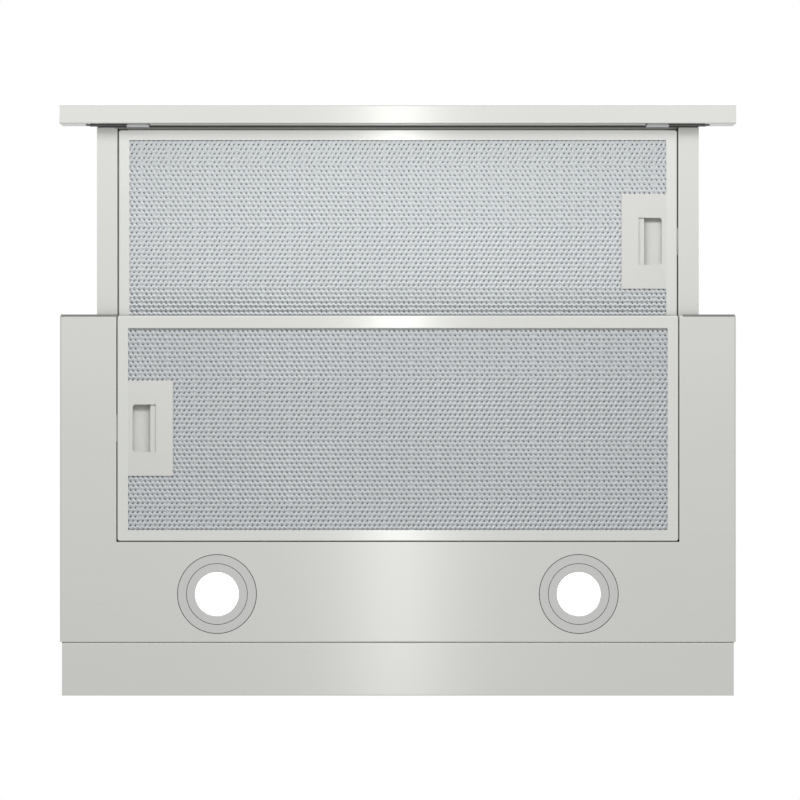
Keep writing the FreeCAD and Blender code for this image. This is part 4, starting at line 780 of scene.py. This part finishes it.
class HOOD_OT_lamps(bpy.types.Operator):
    """Finish the lamps: frosted lit lenses and cast housings"""
    bl_idname = "hood.lamps"
    bl_label = "Lamps"

    def execute(self, context):
        tints = context.scene.hood_colours
        lit = finish("lit_lens", SPECKLED, tints.lens, tone=0.04, smooth=0.3, rough=0.42,
                     scale=1500.0, bump=0.1)
        shader = lit.node_tree.nodes["Principled BSDF"]
        shader.inputs["Emission Color"].default_value = (*tints.lamp, 1.0)
        shader.inputs["Emission Strength"].default_value = 1.0
        dress("lamp_glass", lit)
        dress("lamp_housing", finish("cast_housing", SPECKLED, tints.housing, tone=0.2, smooth=0.4,
                                     rough=0.6, scale=OPEN, bump=0.4, metal=1.0))
        return {"FINISHED"}


class HOOD_OT_painted_shade(bpy.types.Operator):
    """Make the painted shade: black lines round the lamps and black and grey strips along the strip,
    filters and tray, with metal beads along the strip and rear filter
    """
    bl_idname = "hood.seals"
    bl_label = "Painted_Shade"

    def execute(self, context):
        sizes = context.scene.hood_seals
        tints = context.scene.hood_colours
        # Black, grey and pale grey finishes of the painted shade
        shade_black = finish("painted_shade_black", SPECKLED, tints.shade_black, tone=0.4, smooth=0.75, rough=0.9,
                      scale=OPEN, bump=0.5)
        shade_grey, pale = (finish(name, SPECKLED, tint, tone=0.4, smooth=0.8, rough=0.95,
                             scale=OPEN, bump=0.6)
                      for name, tint in (("painted_shade_grey", tints.shade_grey), ("shade_pale", tints.shade_pale)))
        self.lamp_lines(sizes, shade_black)
        self.strip_edge(sizes, shade_black, shade_grey)
        self.front_edge(sizes, pale)
        self.tray_edge(sizes, shade_grey)
        self.rear_edge(sizes, shade_grey)
        return {"FINISHED"}

    def lamp_lines(self, sizes, shade_black):
        """Black lines round the bezels and rings of the lamps: painted shade of the gaps round them."""
        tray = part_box("canopy_tray")[0].z
        work = bmesh.new()
        for bezel, ring in zip(solids_of("lamp_bezels"), solids_of("lamp_rings")):
            middle = (bezel[0] + bezel[1]) / 2
            outer, inner = ((high.x - low.x) / 2 for low, high in (bezel, ring))
            self.band(work, middle, (outer - sizes.lamp_under, outer + sizes.lamp_line),
                      (tray - sizes.proud, tray))
            self.band(work, middle, (inner, inner + sizes.lamp_line),
                      (tray - sizes.ring_proud, tray + sizes.ring_rise))
        self.keep("lamp_seals", work, shade_black, "hood_body")

    def strip_edge(self, sizes, shade_black, shade_grey):
        """Painted shade behind the front strip: a black strip and grey strips, with a metal bead between,
        and room for its hooks.
        """
        strip_low, strip_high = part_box("front_strip")
        low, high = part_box("slider_frame")
        room = sizes.hook_room
        gaps = [(hook_low.x - room, hook_high.x + room) for hook_low, hook_high in solids_of("strip_hooks")]
        near, level = strip_high.y + sizes.strip_gap, low.z - sizes.slider_gap
        work = bmesh.new()
        for ends in self.between(low.x - sizes.black_shade_reach, high.x + sizes.black_shade_reach, gaps):
            self.lip(work, ends, (near, near + sizes.black_shade_depth), (level - sizes.black_shade_height, level))
        # Black strip: painted shade in the gap between the strip and the slider.
        self.keep("strip_bumper", work, shade_black, "slider")
        stretches = self.between(low.x - sizes.strip_reach, high.x + sizes.strip_reach, gaps)
        clear = level - sizes.strip_clear
        work = bmesh.new()
        for ends in stretches[1:-1]:
            self.lip(work, ends, (near, near + sizes.bead_depth), (strip_low.z + sizes.bead_rise, clear))
        self.keep("strip_rear_bead", work, bpy.data.materials["satin_panel"], "slider", "brushed_panel")
        work = bmesh.new()
        for ends in (stretches[0], stretches[-1]):
            self.lip(work, ends, (near, near + sizes.end_shade_depth),
                     (strip_low.z + sizes.end_shade_rise, clear))
        for ends in self.between(low.x + sizes.inset, high.x - sizes.inset, gaps):
            self.lip(work, ends, (near + sizes.grey_shade_start, near + sizes.grey_shade_end),
                     (level - sizes.grey_shade_height, level))
        # Grey strips at the strip's ends and behind the black one: painted shade.
        self.keep("strip_felt", work, shade_grey, "slider")

    def front_edge(self, sizes, pale):
        """Pale grey strip before the front filter's frame: painted shade in the gap there."""
        low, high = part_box("front_filter_frame")
        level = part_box("slider_frame")[0].z - sizes.slider_gap
        work = bmesh.new()
        self.lip(work, (low.x + sizes.inset, high.x - sizes.inset),
                 (low.y - sizes.front_gap, low.y - sizes.front_shade_far),
                 (min(low.z, level) - sizes.proud, low.z + sizes.front_rise))
        self.keep("front_filter_edge_felt", work, pale, "slider")

    def tray_edge(self, sizes, shade_grey):
        """Dark grey strip round the tray's front edge, on each side of the rear filter: painted shade along
        that edge.
        """
        low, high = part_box("canopy_tray")
        frame_low, frame_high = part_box("rear_filter_frame")
        work = bmesh.new()
        for ends in self.between(low.x + sizes.inset, high.x - sizes.inset, [(frame_low.x, frame_high.x)]):
            self.lip(work, ends, (low.y + sizes.tray_lap, low.y - sizes.proud),
                     (low.z - sizes.proud, low.z + sizes.tray_rise))
        self.keep("tray_corner_trim", work, shade_grey, "hood_body")

    def rear_edge(self, sizes, shade_grey):
        """Metal bead along the front rail of the rear filter's frame, and a dark grey strip behind it:
        painted shadow of the rail on the mesh.
        """
        frame_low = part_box("rear_filter_frame")[0]
        low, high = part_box("rear_filter_mesh")
        inner = frame_low.y + sizes.rear_rail
        ends = max(low.x, -sizes.rear_half), min(high.x, sizes.rear_half)
        work = bmesh.new()
        self.lip(work, ends, (inner - sizes.rear_lap, inner + sizes.rear_bead),
                 (frame_low.z - sizes.rear_proud, low.z))
        self.keep("rear_filter_front_bead", work, bpy.data.materials["filter_border"], "rear_filter",
                  "filter_aluminium")
        # The strip below is a painted shadow of the rail on the mesh.
        work = bmesh.new()
        self.lip(work, ends, (inner + sizes.rear_bead, inner + sizes.rear_shade_far),
                 (frame_low.z + sizes.proud, low.z))
        self.keep("rear_filter_edge_felt", work, shade_grey, "rear_filter")

    def between(self, left, right, gaps):
        """The stretches of a line that are left by its gaps."""
        ends = [left, *(x for gap in gaps for x in gap), right]
        return list(zip(ends[::2], ends[1::2]))

    def band(self, work, middle, radii, heights):
        """A flat ring about an upright axis."""
        (r_in, r_out), (low, high) = radii, heights
        loops = [circle(work, middle, r, z, BAND_TURNS)
                 for r, z in ((r_in, low), (r_out, low), (r_out, high), (r_in, high))]
        for below, above in zip(loops, loops[1:] + loops[:1]):
            for k in range(BAND_TURNS):
                j = (k + 1) % BAND_TURNS
                work.faces.new((below[k], above[k], above[j], below[j]))

    def lip(self, work, ends, depths, heights):
        """A strip from near to far whose lower far edge is softened."""
        (near, far), (low, high) = depths, heights
        soft = abs(far - near) / 4
        softened = far - math.copysign(soft, far - near)
        section = [(near, high), (near, low), (softened, low), (far, low + soft), (far, high)]
        start, end = ([work.verts.new((x, y, z)) for y, z in section] for x in ends)
        count = len(section)
        for k in range(count):
            j = (k + 1) % count
            work.faces.new((start[k], end[k], end[j], start[j]))
        work.faces.new(start)
        work.faces.new(list(reversed(end)))

    def keep(self, name, work, material, body, slot="grommet_rubber"):
        bmesh.ops.recalc_face_normals(work, faces=work.faces)
        piece = from_bmesh(name, work)
        piece.data.materials.append(material)
        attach(piece, body)


class HOOD_OT_stage(bpy.types.Operator):
    """Set the camera, the lights, the white surroundings and the floor"""
    bl_idname = "hood.stage"
    bl_label = "Stage"

    def execute(self, context):
        scene = context.scene
        stage = scene.hood_stage
        scene.view_settings.view_transform = "Standard"
        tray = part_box("canopy_tray")[0].z
        lens = bpy.data.cameras.new("camera_below")
        lens.lens = lens.sensor_width * stage.distance / stage.view_width
        lens.clip_end = 100.0
        camera = mesh_object("camera_below", lens)
        camera.location = (stage.aim_x, stage.aim_y, tray - stage.distance)
        camera.rotation_euler = (math.pi, 0.0, 0.0)
        scene.camera = camera
        self.area("tube_light", stage.strip_power, size=(0.012, 0.70),
                  place=(0.0, -0.08, -0.41), way=(0.0, 0.2, 1.0))
        self.area("front_light", stage.front_power, size=(1.5, 0.4),
                  place=(0.0, -0.85, -1.45), way=(0.0, 0.7, 1.25))
        fill = self.area("fill_light", stage.fill_power, size=(1.1, 0.15),
                         place=(0.0, -0.58, -0.82), way=(0.0, 0.4, 0.64))
        fill.visible_glossy = False
        for kind, part in (("light", 1.0 - stage.sheen), ("sheen", stage.sheen)):
            watts = stage.top_power * part
            top = self.area(f"top_{kind}", watts, size=(3.8, 3.8),
                            place=(-0.9, -1.3, 2.4), way=(0.35, 0.5, -1.0))
            rear = self.area(f"rear_{kind}", watts * stage.rear_share, size=(2.9, 2.9),
                             place=(1.6, 1.8, 1.6), way=(-0.8, -0.9, -0.85))
            top.visible_glossy = rear.visible_glossy = kind == "sheen"
        self.surroundings(scene, stage)
        self.floor(stage)
        return {"FINISHED"}

    def area(self, name, watts, size, place, way):
        """A soft rectangular light that the camera doesn't see."""
        light = bpy.data.lights.new(name, "AREA")
        light.shape = "RECTANGLE"
        light.size, light.size_y = size
        light.energy = watts
        lamp = mesh_object(name, light)
        lamp.location = place
        lamp.rotation_euler = Vector(way).to_track_quat("-Z", "Y").to_euler()
        lamp.visible_camera = False
        return lamp

    def surroundings(self, scene, stage):
        """White to the camera, to reflections and through glass; an even light elsewhere."""
        world = bpy.data.worlds.new("white_room")
        world.use_nodes = True
        scene.world = world
        tree = world.node_tree
        back = tree.nodes["Background"]
        back.inputs["Color"].default_value = (1.0, 1.0, 1.0, 1.0)
        path = tree.nodes.new("ShaderNodeLightPath")
        seen = math_node(tree, "MAXIMUM", path.outputs["Is Camera Ray"], path.outputs["Is Glossy Ray"])
        seen = math_node(tree, "MAXIMUM", seen, path.outputs["Is Transmission Ray"])
        level = tree.nodes.new("ShaderNodeMapRange")
        level.inputs["To Min"].default_value = stage.ambient
        level.inputs["To Max"].default_value = 1.0
        tree.links.new(seen, level.inputs["Value"])
        tree.links.new(level.outputs[0], back.inputs["Strength"])

    def floor(self, stage):
        """A pale floor below the hood, clear from beneath, that fades to white further out."""
        work = bmesh.new()
        bmesh.ops.create_grid(work, x_segments=2, y_segments=2, size=stage.floor_reach)
        bmesh.ops.translate(work, verts=work.verts, vec=(0.0, 0.0, stage.floor_level))
        ground = from_bmesh("pale_floor", work)
        material = bpy.data.materials.new("pale_floor")
        material.use_nodes = True
        tree = material.node_tree
        shader = tree.nodes["Principled BSDF"]
        shader.inputs["Base Color"].default_value = (0.9, 0.9, 0.9, 1.0)
        shader.inputs["Roughness"].default_value = 0.9
        glow = add(tree, "ShaderNodeEmission", Strength=1.0)
        clear = tree.nodes.new("ShaderNodeBsdfTransparent")
        place = tree.nodes.new("ShaderNodeTexCoord")
        far = tree.nodes.new("ShaderNodeVectorMath")
        far.operation = "LENGTH"
        tree.links.new(place.outputs["Object"], far.inputs[0])
        fade = tree.nodes.new("ShaderNodeMapRange")
        fade.interpolation_type = "SMOOTHSTEP"
        fade.inputs["From Min"].default_value = 1.2
        fade.inputs["From Max"].default_value = 3.2
        fade.inputs["To Min"].default_value = 0.45
        tree.links.new(far.outputs["Value"], fade.inputs["Value"])
        path = tree.nodes.new("ShaderNodeLightPath")
        pale = math_node(tree, "MULTIPLY", fade.outputs[0], path.outputs["Is Camera Ray"])
        pale = math_node(tree, "MAXIMUM", pale, path.outputs["Is Glossy Ray"])
        pale = math_node(tree, "MAXIMUM", pale, path.outputs["Is Transmission Ray"])
        side = tree.nodes.new("ShaderNodeNewGeometry")
        open_way = math_node(tree, "MAXIMUM", side.outputs["Backfacing"], path.outputs["Is Shadow Ray"])
        lit = tree.nodes.new("ShaderNodeMixShader")
        tree.links.new(pale, lit.inputs[0])
        tree.links.new(shader.outputs[0], lit.inputs[1])
        tree.links.new(glow.outputs[0], lit.inputs[2])
        whole = tree.nodes.new("ShaderNodeMixShader")
        tree.links.new(open_way, whole.inputs[0])
        tree.links.new(lit.outputs[0], whole.inputs[1])
        tree.links.new(clear.outputs[0], whole.inputs[2])
        tree.links.new(whole.outputs[0], tree.nodes["Material Output"].inputs["Surface"])
        ground.data.materials.append(material)


class HOOD_PT_panel(bpy.types.Panel):
    """Shows the hood's steps and their settings"""
    bl_idname = "HOOD_PT_panel"
    bl_label = "Range Hood"
    bl_space_type = "VIEW_3D"
    bl_region_type = "UI"
    bl_category = "Hood"

    def draw(self, context):
        for step in STEPS:
            self.layout.operator(step.bl_idname)
        for label, kind in GROUPS.items():
            box = self.layout.box()
            for name in kind.__annotations__:
                box.prop(getattr(context.scene, label), name)


GROUPS = {"hood_mesh": HoodMeshSizes, "hood_screws": HoodScrewSizes, "hood_seals": HoodShadeSizes,
          "hood_colours": HoodColours, "hood_stage": HoodStage}
STEPS = (HOOD_OT_sheet_metal, HOOD_OT_mouldings, HOOD_OT_filter_mesh, HOOD_OT_screws,
         HOOD_OT_springs, HOOD_OT_lamps, HOOD_OT_painted_shade, HOOD_OT_stage)


def register():
    for kind in (*GROUPS.values(), *STEPS, HOOD_PT_panel):
        bpy.utils.register_class(kind)
    for label, kind in GROUPS.items():
        setattr(bpy.types.Scene, label, PointerProperty(type=kind))


def unregister():
    for label in GROUPS:
        delattr(bpy.types.Scene, label)
    for kind in reversed((*GROUPS.values(), *STEPS, HOOD_PT_panel)):
        bpy.utils.unregister_class(kind)


def main():
    register()
    bpy.ops.hood.sheet_metal()
    bpy.ops.hood.mouldings()
    bpy.ops.hood.filter_mesh()
    bpy.ops.hood.screws()
    bpy.ops.hood.springs()
    bpy.ops.hood.lamps()
    bpy.ops.hood.seals()
    bpy.ops.hood.stage()


if __name__ == "__main__":
    main()
